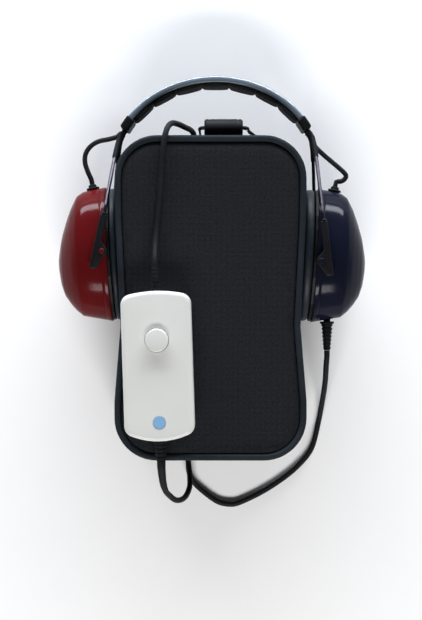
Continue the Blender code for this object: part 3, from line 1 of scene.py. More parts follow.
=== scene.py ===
"""Looks of the audiometer kit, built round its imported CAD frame.

Metres, +Z up. The case lies on its back with its face up. The headset is clamped round it and the handset
lies on it.
"""

import logging
import math
from dataclasses import dataclass, field
from enum import Enum
from functools import cache
from typing import Any, Callable, Iterable, Sequence

import bmesh
import bpy
from mathutils import Matrix, Vector, noise


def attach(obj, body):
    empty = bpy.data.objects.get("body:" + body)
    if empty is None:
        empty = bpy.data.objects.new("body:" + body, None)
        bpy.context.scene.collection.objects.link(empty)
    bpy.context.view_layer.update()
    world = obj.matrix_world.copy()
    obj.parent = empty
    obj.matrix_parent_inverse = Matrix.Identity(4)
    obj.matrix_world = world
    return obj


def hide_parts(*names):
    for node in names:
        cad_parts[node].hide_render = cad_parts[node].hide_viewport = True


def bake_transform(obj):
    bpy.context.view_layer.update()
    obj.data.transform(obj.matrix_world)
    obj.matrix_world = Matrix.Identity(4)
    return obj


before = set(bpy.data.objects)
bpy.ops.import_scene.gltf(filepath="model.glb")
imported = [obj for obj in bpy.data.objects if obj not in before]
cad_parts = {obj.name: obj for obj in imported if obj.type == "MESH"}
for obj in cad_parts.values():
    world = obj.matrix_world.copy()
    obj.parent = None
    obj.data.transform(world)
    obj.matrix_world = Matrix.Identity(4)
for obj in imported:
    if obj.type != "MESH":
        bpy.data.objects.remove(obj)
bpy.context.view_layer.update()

log = logging.getLogger("audiometer_kit")

# A chain of points, two and three measures, pairs of measures that make a section or a profile, a cord's tip
# with its way out, a mesh in the making, and its ring of vertices and edges
Line = list[Vector]
Two = tuple[float, float]
Three = tuple[float, float, float]
Section = list[Two]
Tip = tuple[Vector, Vector]
BMesh = bmesh.types.BMesh
Ring = tuple[list[bmesh.types.BMVert], list[bmesh.types.BMEdge]]

ORIGIN = Vector((0.0, 0.0, 0.0))
UP = Vector((0.0, 0.0, 1.0))
TOUCH = 0.0003
QUARTER = math.pi / 2


# Materials


class Value:
    """A shader socket that takes part in arithmetic."""

    def __init__(self, shader: "Shader", socket: bpy.types.NodeSocket) -> None:
        """Keep the shader and its socket."""
        self.shader = shader
        self.socket = socket

    def math(self, operation: str, *given: Any) -> "Value":
        """Add a Math node, with values or numbers for its sockets in order."""
        return self.shader.node("ShaderNodeMath", {"operation": operation}, dict(enumerate(given)))

    def __add__(self, other: Any) -> "Value":
        """Add."""
        return self.math("ADD", self, other)

    def __radd__(self, other: Any) -> "Value":
        """Add, from the right."""
        return self.math("ADD", other, self)

    def __sub__(self, other: Any) -> "Value":
        """Subtract."""
        return self.math("SUBTRACT", self, other)

    def __mul__(self, other: Any) -> "Value":
        """Multiply."""
        return self.math("MULTIPLY", self, other)

    def __abs__(self) -> "Value":
        """Take the size."""
        return self.math("ABSOLUTE", self)

    def sine(self) -> "Value":
        """Take the sine."""
        return self.math("SINE", self)

    def above(self, limit: float) -> "Value":
        """Give 1 where the value is over a limit and 0 elsewhere."""
        return self.math("GREATER_THAN", self, limit)

    def between(self, low: float, high: float) -> "Value":
        """Give a soft step from 0 at low to 1 at high."""
        settings = {"interpolation_type": "SMOOTHSTEP"}
        inputs = {"Value": self, "From Min": low, "From Max": high}
        return self.shader.node("ShaderNodeMapRange", settings, inputs, "Result")


class Shader:
    """A Principled material in the making, with the numbers of a Mix node's colour sockets."""

    first_colour = 6
    second_colour = 7
    mixed_colour = 2

    def __init__(self, name: str) -> None:
        """Start a material with its Principled shader."""
        self.material = bpy.data.materials.new(name)
        self.material.use_nodes = True
        self.nodes = self.material.node_tree.nodes
        self.links = self.material.node_tree.links
        self.principled = self.nodes["Principled BSDF"]

    def node(self, kind: str, settings: dict[str, Any] | None = None,
             inputs: dict[Any, Any] | None = None, output: Any = 0) -> Value:
        """Add any node.

        Args:
            kind: the node's type.
            settings: the node's own properties, set first.
            inputs: values or links by socket name or number.
            output: the name or number of the socket to read.

        Returns:
            The chosen output.
        """
        made = self.nodes.new(kind)
        for key, setting in (settings or {}).items():
            setattr(made, key, setting)
        for key, given in (inputs or {}).items():
            if isinstance(given, Value):
                self.links.new(given.socket, made.inputs[key])
            else:
                made.inputs[key].default_value = given
        return Value(self, made.outputs[output])

    def constant(self, **sockets: Any) -> None:
        """Set sockets of the Principled shader that are the same all over."""
        for key, setting in sockets.items():
            socket = key.replace("_", " ").title().replace("Ior", "IOR")
            self.principled.inputs[socket].default_value = setting

    def feed(self, name: str, value: Value) -> None:
        """Link a value to a socket of the Principled shader."""
        self.links.new(value.socket, self.principled.inputs[name])

    def place(self) -> Value:
        """Give Object coordinates."""
        return self.node("ShaderNodeTexCoord", output="Object")

    def axes(self, vector: Value) -> tuple[Value, Value, Value]:
        """Split a vector into its three numbers."""
        split = self.node("ShaderNodeSeparateXYZ", inputs={0: vector})
        return tuple(Value(self, output) for output in split.socket.node.outputs)

    def clouds(self, scale: float, detail: float = 2.0, roughness: float = 0.5,
               stretch: Sequence[float] = (1.0, 1.0, 1.0)) -> Value:
        """Give noise of 0 to 1 on Object coordinates.

        Args:
            scale: how many features there are to a metre.
            detail: how many finer layers there are.
            roughness: how strong the finer layers are.
            stretch: a scale for each axis.

        Returns:
            The noise.
        """
        spread = self.node("ShaderNodeMapping", inputs={"Vector": self.place(), "Scale": tuple(stretch)})
        inputs = {"Vector": spread, "Scale": scale, "Detail": detail, "Roughness": roughness}
        return self.node("ShaderNodeTexNoise", inputs=inputs, output="Fac")

    def cells(self, scale: float) -> Value:
        """Give the distance to the edges of cells, for leather and foam."""
        inputs = {"Vector": self.place(), "Scale": scale}
        return self.node("ShaderNodeTexVoronoi", {"feature": "DISTANCE_TO_EDGE"}, inputs, "Distance")

    def blend(self, mask: Value, first: Sequence[float], second: Sequence[float]) -> Value:
        """Mix two colours by a mask."""
        inputs = {"Factor": mask, self.first_colour: (*first, 1.0), self.second_colour: (*second, 1.0)}
        return self.node("ShaderNodeMix", {"data_type": "RGBA"}, inputs, self.mixed_colour)

    def bump(self, height: Value, distance: float, strength: float = 1.0) -> None:
        """Feed a height to the Normal socket through a Bump node."""
        inputs = {"Height": height, "Distance": distance, "Strength": strength}
        self.feed("Normal", self.node("ShaderNodeBump", inputs=inputs, output="Normal"))


class Grain(Enum):
    """Kinds of surface."""

    WOVEN = "woven"
    WEBBING = "webbing"
    LEATHER = "leather"
    FOAM = "foam"
    MOULDED = "moulded"
    RUBBER = "rubber"
    DRAWN = "drawn"


@dataclass(frozen=True)
class Finish:
    """One finish: its colours, its gloss, its grain, and the CAD's material if that has another name."""

    name: str
    colour: Three
    shade: Three
    roughness: float
    grain: Grain
    spread: float = 0.08
    metallic: float = 0.0
    coat: float = 0.0
    sheen: float = 0.0
    ior: float = 1.45
    pitch: float = 0.001
    depth: float = 0.00004
    slot: str = ""
    wear_scale = 60.0
    coat_roughness = 0.12
    sheen_roughness = 0.45
    facing_sideways = 0.7
    facing_up = 0.6

    @cache
    def material(self) -> bpy.types.Material:
        """Make the material once, and give it."""
        shader = Shader(f"{self.name}_finish")
        # The grain's tone mixes the shade colour into the main one. On most grains it is a random tone; on the
        # woven, leather and foam grains it is partly painted shade, darker where the surface lies low.
        tone, height = getattr(self, f"_{self.grain.value}")(shader)
        shader.feed("Base Color", shader.blend(tone, self.shade, self.colour))
        wear = shader.clouds(self.wear_scale, 3.0)
        shader.feed("Roughness", self.roughness + (wear - 0.5) * self.spread * 2 - (tone - 0.5) * self.spread)
        shader.bump(height, self.depth)
        shader.constant(metallic=self.metallic, ior=self.ior, coat_weight=self.coat,
                        coat_roughness=self.coat_roughness, sheen_weight=self.sheen,
                        sheen_roughness=self.sheen_roughness)
        return shader.material

    def _surface_axes(self, shader: Shader) -> tuple[Value, Value]:
        """Give two coordinates that run along the surface, chosen by where it faces."""
        normal = shader.node("ShaderNodeTexCoord", output="Normal")
        x, y, z = shader.axes(shader.place())
        face_x, _, face_z = shader.axes(normal)
        side, top = abs(face_x).above(self.facing_sideways), abs(face_z).above(self.facing_up)
        return x + (y - x) * side, z + (y - z) * top

    def _threads(self, shader: Shader, share: float) -> tuple[Value, Value]:
        """Give a plain weave: threads over and under each other, their heights, and a tone that is painted
        shade in the dips between threads.
        """
        u, v = self._surface_axes(shader)
        turn = math.tau / self.pitch
        warp, weft = (u * turn).sine(), (v * turn * share).sine()
        over = (warp * weft).above(0.0)
        across, along = abs(weft), abs(warp)
        height = across + (along - across) * over
        fuzz = shader.clouds(1.2 / self.pitch, 2.0)
        # Painted shade: the tone follows the threads' height, so the dips between threads take the dark shade
        # colour; the fuzz adds a random tone.
        tone = (height * 0.75 + fuzz * 0.5).between(0.50, 1.15)
        return tone, height + fuzz * 0.4

    def _woven(self, shader: Shader) -> tuple[Value, Value]:
        """Give the case's plain weave."""
        return self._threads(shader, 1.0)

    def _webbing(self, shader: Shader) -> tuple[Value, Value]:
        """Give a strap's coarse weave."""
        return self._threads(shader, 0.6)

    def _leather(self, shader: Shader) -> tuple[Value, Value]:
        """Give soft leather: small cells and broad folds, with painted shade that darkens the creases and the
        low parts of the folds.
        """
        creases = shader.cells(1.0 / self.pitch).between(0.0, 0.12)
        folds = shader.clouds(90.0, 3.0)
        return (creases * 0.5 + folds * 0.5).between(0.1, 0.9), creases + folds * 2.0

    def _foam(self, shader: Shader) -> tuple[Value, Value]:
        """Give open foam: fine pits, with painted shade that darkens the low cell edges between them."""
        pits = shader.cells(1.0 / self.pitch).between(0.0, 0.35)
        return pits, pits + shader.clouds(250.0, 3.0)

    def _moulded(self, shader: Shader) -> tuple[Value, Value]:
        """Give moulded plastic: a fine even texture."""
        fine = shader.clouds(1.0 / self.pitch, 3.0, 0.6)
        broad = shader.clouds(35.0, 2.0)
        return (fine * 0.4 + broad * 0.6).between(0.25, 0.75), fine + broad * 0.3

    def _rubber(self, shader: Shader) -> tuple[Value, Value]:
        """Give extruded rubber: dusty and slightly wavy."""
        fine = shader.clouds(1.0 / self.pitch, 4.0, 0.65)
        wave = shader.clouds(45.0, 2.0)
        return (fine * 0.5 + wave * 0.5).between(0.3, 0.75), fine + wave

    def _drawn(self, shader: Shader) -> tuple[Value, Value]:
        """Give drawn or plated metal: faint streaks."""
        streaks = shader.clouds(1.0 / self.pitch, 3.0, 0.6, (1.0, 0.12, 1.0))
        return streaks.between(0.2, 0.8), streaks


class Finishes:
    # The woven finishes' dark shade colour is painted shade for the dips between threads.
    NYLON = Finish("woven_nylon", (0.029, 0.032, 0.037), (0.0020, 0.0024, 0.003), 0.85,
                   Grain.WOVEN, pitch=0.0020, depth=0.00022, ior=1.15)
    WEBBING = Finish("strap_webbing", (0.026, 0.028, 0.031), (0.007, 0.008, 0.009), 0.62,
                     Grain.WEBBING, pitch=0.0019, depth=0.00022, sheen=0.1, slot="woven_nylon")
    THREAD = Finish("stitch_thread", (0.045, 0.048, 0.052), (0.020, 0.021, 0.024), 0.55,
                    Grain.DRAWN, pitch=0.0006, slot="woven_nylon")
    PIPING = Finish("piping_vinyl", (0.021, 0.026, 0.032), (0.013, 0.016, 0.020), 0.50,
                    Grain.MOULDED, pitch=0.0012, depth=0.00003, ior=1.10)
    TAPE = Finish("zip_tape", (0.012, 0.012, 0.014), (0.004, 0.004, 0.005), 0.75,
                  Grain.WOVEN, pitch=0.0010, depth=0.00012, ior=1.2, slot="black_rubber")
    TEETH = Finish("zip_teeth", (0.030, 0.031, 0.033), (0.016, 0.017, 0.018), 0.38,
                   Grain.MOULDED, slot="black_rubber")
    BLACK = Finish("black_plastic", (0.006, 0.006, 0.007), (0.002, 0.002, 0.003), 0.50,
                   Grain.MOULDED, ior=1.25)
    RUBBER = Finish("black_rubber", (0.009, 0.011, 0.013), (0.004, 0.005, 0.006), 0.60,
                    Grain.RUBBER, depth=0.00003, ior=1.25)
    STEEL = Finish("bright_steel", (0.052, 0.050, 0.062), (0.033, 0.032, 0.040), 0.30,
                   Grain.DRAWN, metallic=1.0, depth=0.00001, spread=0.05)
    GUNMETAL = Finish("dark_steel", (0.09, 0.09, 0.095), (0.05, 0.05, 0.055), 0.35,
                      Grain.DRAWN, metallic=1.0, depth=0.00002, slot="bright_steel")
    # Painted sheen: the headband cover's pale steel-blue colours are lightened from the darker plastic to
    # stand in for the bright reflection along its edge.
    BAND = Finish("band_plastic", (0.16, 0.205, 0.255), (0.115, 0.15, 0.19), 0.20,
                  Grain.MOULDED, depth=0.00001, coat=1.0, spread=0.04, ior=1.6)
    # The pad's dark shade colour is painted shade in the foam's pits.
    FOAM = Finish("pad_foam", (0.012, 0.012, 0.013), (0.003, 0.003, 0.003), 0.88,
                  Grain.FOAM, pitch=0.0011, depth=0.00015)
    WHITE = Finish("white_plastic", (0.655, 0.66, 0.635), (0.625, 0.63, 0.605), 0.40,
                   Grain.MOULDED, pitch=0.0008, depth=0.00001, coat=0.08)
    RED = Finish("cup_red", (0.098, 0.0058, 0.0068), (0.080, 0.0046, 0.0055), 0.24,
                 Grain.MOULDED, depth=0.000006, coat=0.19, spread=0.04, ior=1.05)
    BLUE = Finish("cup_blue", (0.0070, 0.0085, 0.0185), (0.005, 0.006, 0.0145), 0.24,
                  Grain.MOULDED, depth=0.000006, coat=0.19, spread=0.04, ior=1.05)
    # The cushion's dark shade colour is painted shade for the leather's creases.
    LEATHER = Finish("cushion_leather", (0.013, 0.020, 0.027), (0.007, 0.010, 0.014), 0.42,
                     Grain.LEATHER, pitch=0.0018, depth=0.00006, ior=1.3)
    DISC = Finish("disc_blue", (0.21, 0.40, 0.63), (0.19, 0.37, 0.59), 0.4, Grain.MOULDED)
    BOARD = Finish("board_green", (0.02, 0.17, 0.06), (0.01, 0.11, 0.04), 0.4, Grain.MOULDED)
    PAPER = Finish("pale_table", (0.93, 0.93, 0.93), (0.92, 0.92, 0.92), 0.9,
                   Grain.MOULDED, depth=0.000001, slot="white_plastic")


# Making pieces


class Workshop:
    """Turns meshes into finished pieces that ride on the CAD's bodies."""

    merge = 1e-6
    pieces_made = 0

    @classmethod
    def piece(cls, name: str, made: BMesh, finish: Finish, body: str, smooth: float = 35.0,
              replaces: tuple[str, ...] | None = None) -> bpy.types.Object:
        """Finish a mesh that is in place, in world metres.

        Args:
            name: the piece's name.
            made: its mesh, freed here.
            finish: its finish.
            body: the CAD body that it rides on, or an empty word to leave it free.
            smooth: the angle in degrees past which an edge stays sharp.
            replaces: CAD nodes that it stands for, if not the one of its own name.

        Returns:
            The piece.
        """
        bmesh.ops.remove_doubles(made, verts=made.verts, dist=cls.merge)
        return cls.dress(name, cls.mesh_of(name, made), finish, body, smooth, replaces)

    @classmethod
    def dress(cls, name: str, mesh: bpy.types.Mesh, finish: Finish, body: str, smooth: float = 35.0,
              replaces: tuple[str, ...] | None = None) -> bpy.types.Object:
        """Give a finished mesh its object, material and body, told as for a piece."""
        made = bpy.data.objects.new(name, mesh)
        bpy.context.scene.collection.objects.link(made)
        mesh.shade_smooth()
        mesh.set_sharp_from_angle(angle=math.radians(smooth))
        mesh.materials.clear()
        mesh.materials.append(finish.material())
        if body:
            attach(made, body)
        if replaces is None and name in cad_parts:
            replaces = (name,)
        if replaces:
            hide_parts(*replaces)
        cls.pieces_made += 1
        log.info("made %s on %s", name, body or "two bodies")
        return made

    @staticmethod
    def keep(node: str, finish: Finish) -> None:
        """Give a CAD node that stays in sight its finish."""
        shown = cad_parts[node]
        if not shown.material_slots:
            shown.data.materials.append(finish.material())
        for slot in shown.material_slots:
            slot.material = finish.material()

    @classmethod
    def carved(cls, name: str, made: BMesh,
               cutters: Iterable[BMesh]) -> bpy.types.Mesh:
        """Cut a mesh with others, all used up, and give the cut mesh."""
        target = cls.blank(name, made)
        for cutter in cutters:
            knife = cls.blank("knife", cutter)
            boolean = target.modifiers.new("carve", "BOOLEAN")
            boolean.operation = "DIFFERENCE"
            boolean.object = knife
            boolean.solver = "EXACT"
            bpy.context.view_layer.update()
            evaluated = target.evaluated_get(bpy.context.evaluated_depsgraph_get())
            mesh = bpy.data.meshes.new_from_object(evaluated)
            target.modifiers.remove(boolean)
            target.data = mesh
            bpy.data.objects.remove(knife, do_unlink=True)
        mesh = target.data
        bpy.data.objects.remove(target, do_unlink=True)
        return mesh

    @staticmethod
    def mesh_of(name: str, made: BMesh) -> bpy.types.Mesh:
        """Turn a mesh in the making, freed here, into a mesh whose faces point out."""
        bmesh.ops.recalc_face_normals(made, faces=made.faces)
        mesh = bpy.data.meshes.new(name)
        made.to_mesh(mesh)
        made.free()
        return mesh

    @classmethod
    def blank(cls, name: str, made: BMesh) -> bpy.types.Object:
        """Make a bare object for cutting with."""
        cutter = bpy.data.objects.new(name, cls.mesh_of(name, made))
        bpy.context.scene.collection.objects.link(cutter)
        return cutter


class Form:
    """Shapes made with mesh operators, in world metres."""

    @staticmethod
    def ring(made: BMesh, points: Iterable[Vector]) -> Ring:
        """Add a closed ring of edges through points."""
        verts = [made.verts.new(point) for point in points]
        return verts, [made.edges.new((first, second)) for first, second in zip(verts, verts[1:] + verts[:1])]

    @staticmethod
    def grown(made: BMesh, verts: list[bmesh.types.BMVert], points: Sequence[Vector]) -> Ring:
        """Extrude a closed ring to the next ring's points.

        Args:
            made: the mesh.
            verts: the ring's vertices, in order.
            points: where they go, in the same order.

        Returns:
            The new ring's vertices, in the same order, and its edges.
        """
        places = {vert: index for index, vert in enumerate(verts)}
        edges = [made.edges.get(pair) for pair in zip(verts, verts[1:] + verts[:1])]
        fresh = bmesh.ops.extrude_edge_only(made, edges=edges)["geom"]
        following = list(verts)
        for vert in (part for part in fresh if isinstance(part, bmesh.types.BMVert)):
            root = next(edge.other_vert(vert) for edge in vert.link_edges if edge.other_vert(vert) in places)
            vert.co = points[places[root]]
            following[places[root]] = vert
        return following, [made.edges.get(pair) for pair in zip(following, following[1:] + following[:1])]

    @staticmethod
    def skin(rings: Sequence[Sequence[Vector]], joined: bool = False) -> BMesh:
        """Skin a chain of rings with equal counts.

        Args:
            rings: the rings, in order.
            joined: whether the last ring meets the first one, which a weld closes; if not, both are filled.

        Returns:
            The mesh.
        """
        made = bmesh.new()
        verts, first_edges = Form.ring(made, rings[0])
        last_edges = first_edges
        for ring in list(rings[1:]) + ([rings[0]] if joined else []):
            verts, last_edges = Form.grown(made, verts, ring)
        if not joined:
            bmesh.ops.edgeloop_fill(made, edges=first_edges)
            bmesh.ops.edgeloop_fill(made, edges=last_edges)
        return made

    @staticmethod
    def turned(profile: Sequence[Two], centre: Vector, axis: Vector, steps: int,
               made: BMesh | None = None) -> BMesh:
        """Spin a profile of radius and height about a line.

        Args:
            profile: radius and height pairs.
            centre: the place of height 0.
            axis: the direction of the line.
            steps: the steps round it.
            made: the mesh to add to, or none for a new one.

        Returns:
            The mesh.
        """
        spun = bmesh.new()
        chain = [spun.verts.new((radius, 0.0, height)) for radius, height in profile]
        edges = [spun.edges.new(pair) for pair in zip(chain, chain[1:])]
        bmesh.ops.spin(spun, geom=chain + edges, cent=ORIGIN, axis=UP, angle=math.tau, steps=steps,
                       use_merge=True)
        bmesh.ops.remove_doubles(spun, verts=spun.verts, dist=Workshop.merge)
        place = Matrix.Translation(centre) @ axis.to_track_quat("Z", "Y").to_matrix().to_4x4()
        bmesh.ops.transform(spun, matrix=place, verts=spun.verts)
        return Form.joined(spun, made)

    @staticmethod
    def joined(part: BMesh, made: BMesh | None) -> BMesh:
        """Add a part to a mesh, or give the part if there is none yet."""
        if made is None:
            return part
        carrier = bpy.data.meshes.new("part")
        part.to_mesh(carrier)
        part.free()
        made.from_mesh(carrier)
        bpy.data.meshes.remove(carrier)
        return made

    @staticmethod
    def brick(size: Vector, place: Matrix, bevel: float = 0.0, segments: int = 2,
              made: BMesh | None = None) -> BMesh:
        """Give a box with eased edges.

        Args:
            size: its three sizes.
            place: where it goes and how it is turned.
            bevel: how far its edges are eased.
            segments: the steps of that easing.
            made: the mesh to add to, or none for a new one.

        Returns:
            The mesh.
        """
        part = bmesh.new()
        bmesh.ops.create_cube(part, size=1.0)
        bmesh.ops.scale(part, vec=size, verts=part.verts)
        if bevel:
            bmesh.ops.bevel(part, geom=part.edges[:], offset=bevel, segments=segments, affect="EDGES",
                            profile=0.5, material=-1)
        bmesh.ops.transform(part, matrix=place, verts=part.verts)
        return Form.joined(part, made)

    @staticmethod
    def tube(name: str, line: Line, radii: float | Sequence[float], sides: int = 3,
             closed: bool = False) -> bpy.types.Mesh:
        """Sweep a round section along a line, with filled ends.

        Args:
            name: the mesh's name.
            line: the middle line.
            radii: one radius, or one for each point.
            sides: the section's smoothness.
            closed: whether the line meets itself.

        Returns:
            The mesh.
        """
        data = bpy.data.curves.new(name, "CURVE")
        data.dimensions = "3D"
        widest = radii if isinstance(radii, float) else max(radii)
        data.bevel_depth = widest
        data.bevel_resolution = sides
        data.use_fill_caps = not closed
        spline = data.splines.new("POLY")
        spline.points.add(len(line) - 1)
        for index, point in enumerate(line):
            spline.points[index].co = (*point, 1.0)
            if not isinstance(radii, float):
                spline.points[index].radius = radii[index] / widest
        spline.use_cyclic_u = closed
        carrier = bpy.data.objects.new(name, data)
        mesh = bpy.data.meshes.new_from_object(carrier)
        bpy.data.objects.remove(carrier, do_unlink=True)
        bpy.data.curves.remove(data)
        made = bmesh.new()
        made.from_mesh(mesh)
        bmesh.ops.remove_doubles(made, verts=made.verts, dist=Workshop.merge)
        bmesh.ops.recalc_face_normals(made, faces=made.faces)
        made.to_mesh(mesh)
        made.free()
        return mesh

    @staticmethod
    def arc(centre: Sequence[float], radius: float, start: float, end: float, steps: int) -> Line:
        """Give the points of an arc in a plane."""
        turns = [start + (end - start) * index / steps for index in range(steps + 1)]
        middle = Vector(centre)
        return [middle + radius * Vector((math.cos(turn), math.sin(turn))) for turn in turns]

    @staticmethod
    def eased(radius: float, steps: int) -> Section:
        """Give inset and drop pairs round an edge, from the face to the side."""
        turns = [QUARTER * index / steps for index in range(steps + 1)]
        return [(radius * (1 - math.sin(turn)), radius * (1 - math.cos(turn))) for turn in turns]

    @staticmethod
    def rod(radius: float, low: float, high: float) -> Section:
        """Give the profile of a plain cylinder between two heights."""
        return [(0.0, low), (radius, low), (radius, high), (0.0, high)]

    @staticmethod
    def pin(radius: float, reach: float) -> Section:
        """Give the profile of a pin with eased ends, about its middle."""
        return [(0.0, -reach), (radius * 0.8, -reach), (radius, -reach * 0.9),
                (radius, reach * 0.9), (radius * 0.8, reach), (0.0, reach)]

    @staticmethod
    def waves(point: Vector, scale: float, seed: float = 0.0) -> float:
        """Give smooth noise of about -1 to 1 at a point."""
        return noise.noise(point * scale + Vector((seed, seed * 2, seed * 3)))


class Curve:
    """Smooth lines for cords and wires."""

    samples = 24
    shortest = 1e-9

    @classmethod
    def smooth(cls, points: Sequence[Sequence[float]], step: float, before: Vector | None = None,
               after: Vector | None = None) -> Line:
        """Read a smooth curve through points at an even step.

        Args:
            points: the points that it passes through.
            step: the distance between the points read.
            before: the point that leads into it.
            after: the point that it leads to.

        Returns:
            The points read.
        """
        knots = [Vector(point) for point in points]
        before = before or 2 * knots[0] - knots[1]
        after = after or 2 * knots[-1] - knots[-2]
        knots = [before] + knots + [after]
        fine = []
        for first, start, end, last in zip(knots, knots[1:], knots[2:], knots[3:]):
            for index in range(cls.samples):
                share = index / cls.samples
                fine.append(0.5 * (2 * start + (end - first) * share
                                   + (2 * first - 5 * start + 4 * end - last) * share ** 2
                                   + (3 * start - first - 3 * end + last) * share ** 3))
        fine.append(knots[-2])
        return cls.even(fine, step)

    @staticmethod
    def even(fine: Line, step: float) -> Line:
        """Read a chain of points again at an even step."""
        lengths = [0.0]
        for first, second in zip(fine, fine[1:]):
            lengths.append(lengths[-1] + (second - first).length)
        count = max(2, round(lengths[-1] / step))
        even, place = [], 0
        for index in range(count + 1):
            target = lengths[-1] * index / count
            while place < len(fine) - 2 and lengths[place + 1] < target:
                place += 1
            span = max(lengths[place + 1] - lengths[place], Curve.shortest)
            even.append(fine[place].lerp(fine[place + 1], (target - lengths[place]) / span))
        return even

    @staticmethod
    def length(points: Line) -> float:
        """Measure a chain of points."""
        return sum((second - first).length for first, second in zip(points, points[1:]))

    @staticmethod
    def split(points: Line, reach: float) -> tuple[Line, Line]:
        """Cut a chain in two at a length along it."""
        gone = 0.0
        for index, (first, second) in enumerate(zip(points, points[1:])):
            step = (second - first).length
            if gone + step >= reach:
                cut = first.lerp(second, (reach - gone) / step)
                return points[:index + 1] + [cut], [cut] + points[index + 1:]
            gone += step
        return points, points[-1:]

    @classmethod
    def between(cls, start_end: Tip, route: Sequence[Sequence[float]], stop_end: Tip, step: float,
                diameter: float) -> Line:
        """Join two tips by a smooth line that is straight for a diameter at both.

        Args:
            start_end: the first tip and its way out.
            route: the points between the tips.
            stop_end: the last tip and its way out.
            step: the distance between the points read.
            diameter: the cord's diameter.

        Returns:
            The line.
        """
        (start_tip, start_way), (stop_tip, stop_way) = start_end, stop_end
        start = start_tip + start_way * TOUCH
        stop = stop_tip + stop_way * TOUCH
        first = start_tip + start_way * diameter
        last = stop_tip + stop_way * diameter
        return [start] + cls.smooth([first, *route, last], step, start, stop) + [stop]

    @staticmethod
    def with_straight_ends(points: Line, length: float) -> Line:
        """Lengthen a chain at both ends, straight on."""
        before = points[0] + (points[0] - points[1]).normalized() * length
        after = points[-1] + (points[-1] - points[-2]).normalized() * length
        return [before] + points + [after]


# The studio


@dataclass(frozen=True)
class SoftBox:
    name: str
    place: Three
    size: Two
    power: float
    colour: Three

    def build(self, target: Vector) -> None:
        """Add the light, turned to a target."""
        data = bpy.data.lights.new(self.name, "AREA")
        data.shape = "RECTANGLE"
        data.size, data.size_y = self.size
        data.energy = self.power
        data.color = self.colour
        lamp = bpy.data.objects.new(self.name, data)
        lamp.location = self.place
        lamp.rotation_euler = (target - Vector(self.place)).to_track_quat("-Z", "Y").to_euler()
        bpy.context.scene.collection.objects.link(lamp)


@dataclass
class Studio:
    eye: Three = (0.0004, -0.010, 1.195)
    lens: float = 77.86
    film: float = 36.0
    table_half: float = 1.45
    table_height: float = -0.0004
    aim: Three = (0.0, 0.0, 0.05)
    sky_stops: tuple[tuple[float, Three], ...] = (
        (0.0, (0.30, 0.31, 0.32)),
        (0.30, (0.24, 0.25, 0.26)),
        (0.60, (0.08, 0.08, 0.08)),
        (1.0, (0.02, 0.02, 0.02)),
    )
    sky_strength: float = 1.0
    boxes: tuple[SoftBox, ...] = (
        SoftBox("window_box", (0.0, 1.5, 0.40), (2.4, 0.34), 72.0, (0.90, 0.94, 1.0)),
        SoftBox("near_box", (0.0, -1.5, 1.35), (1.6, 0.45), 38.0, (1.0, 0.99, 0.985)),
    )

    def build(self) -> None:
        scene = bpy.context.scene
        scene.view_settings.view_transform = "Standard"
        self._camera(scene)
        self._sky(scene)
        for box in self.boxes:
            box.build(Vector(self.aim))
        self._table()

    def _camera(self, scene: bpy.types.Scene) -> None:
        """Look straight down from the photograph's distance."""
        data = bpy.data.cameras.new("camera")
        data.sensor_fit = "AUTO"
        data.sensor_width = self.film
        data.lens = self.lens
        data.dof.use_dof = False
        camera = bpy.data.objects.new("camera", data)
        camera.location = self.eye
        scene.collection.objects.link(camera)
        scene.camera = camera

    def _sky(self, scene: bpy.types.Scene) -> None:
        world = bpy.data.worlds.new("soft_sky")
        world.use_nodes = True
        nodes, links = world.node_tree.nodes, world.node_tree.links
        direction = nodes.new("ShaderNodeTexCoord")
        split = nodes.new("ShaderNodeSeparateXYZ")
        ramp = nodes.new("ShaderNodeValToRGB")
        links.new(direction.outputs["Generated"], split.inputs[0])
        links.new(split.outputs["Z"], ramp.inputs["Fac"])
        stops = ramp.color_ramp.elements
        while len(stops) < len(self.sky_stops):
            stops.new(0.5)
        for stop, (place, colour) in zip(stops, self.sky_stops):
            stop.position = place
            stop.color = (*colour, 1.0)
        links.new(ramp.outputs["Color"], nodes["Background"].inputs["Color"])
        nodes["Background"].inputs["Strength"].default_value = self.sky_strength
        scene.world = world

    def _table(self) -> None:
        made = bmesh.new()
        bmesh.ops.create_grid(made, x_segments=1, y_segments=1, size=self.table_half)
        mesh = bpy.data.meshes.new("table")
        made.to_mesh(mesh)
        made.free()
        mesh.materials.append(Finishes.PAPER.material())
        table = bpy.data.objects.new("table", mesh)
        table.location = (0.0, 0.0, self.table_height)
        bpy.context.scene.collection.objects.link(table)


# The carrying case


@dataclass(frozen=True)
class ZipExit:
    """One place where the zip stands open for leads."""

    x: float
    half_width: float
    up: float
    down: float

    def gap(self, x: float, toward: int) -> float:
        """Give how far a seam edge draws back at a place along the wall."""
        reach = abs(x - self.x) / self.half_width
        if reach >= 1.0:
            return 0.0
        return (self.up if toward > 0 else self.down) * math.cos(QUARTER * reach) ** 2


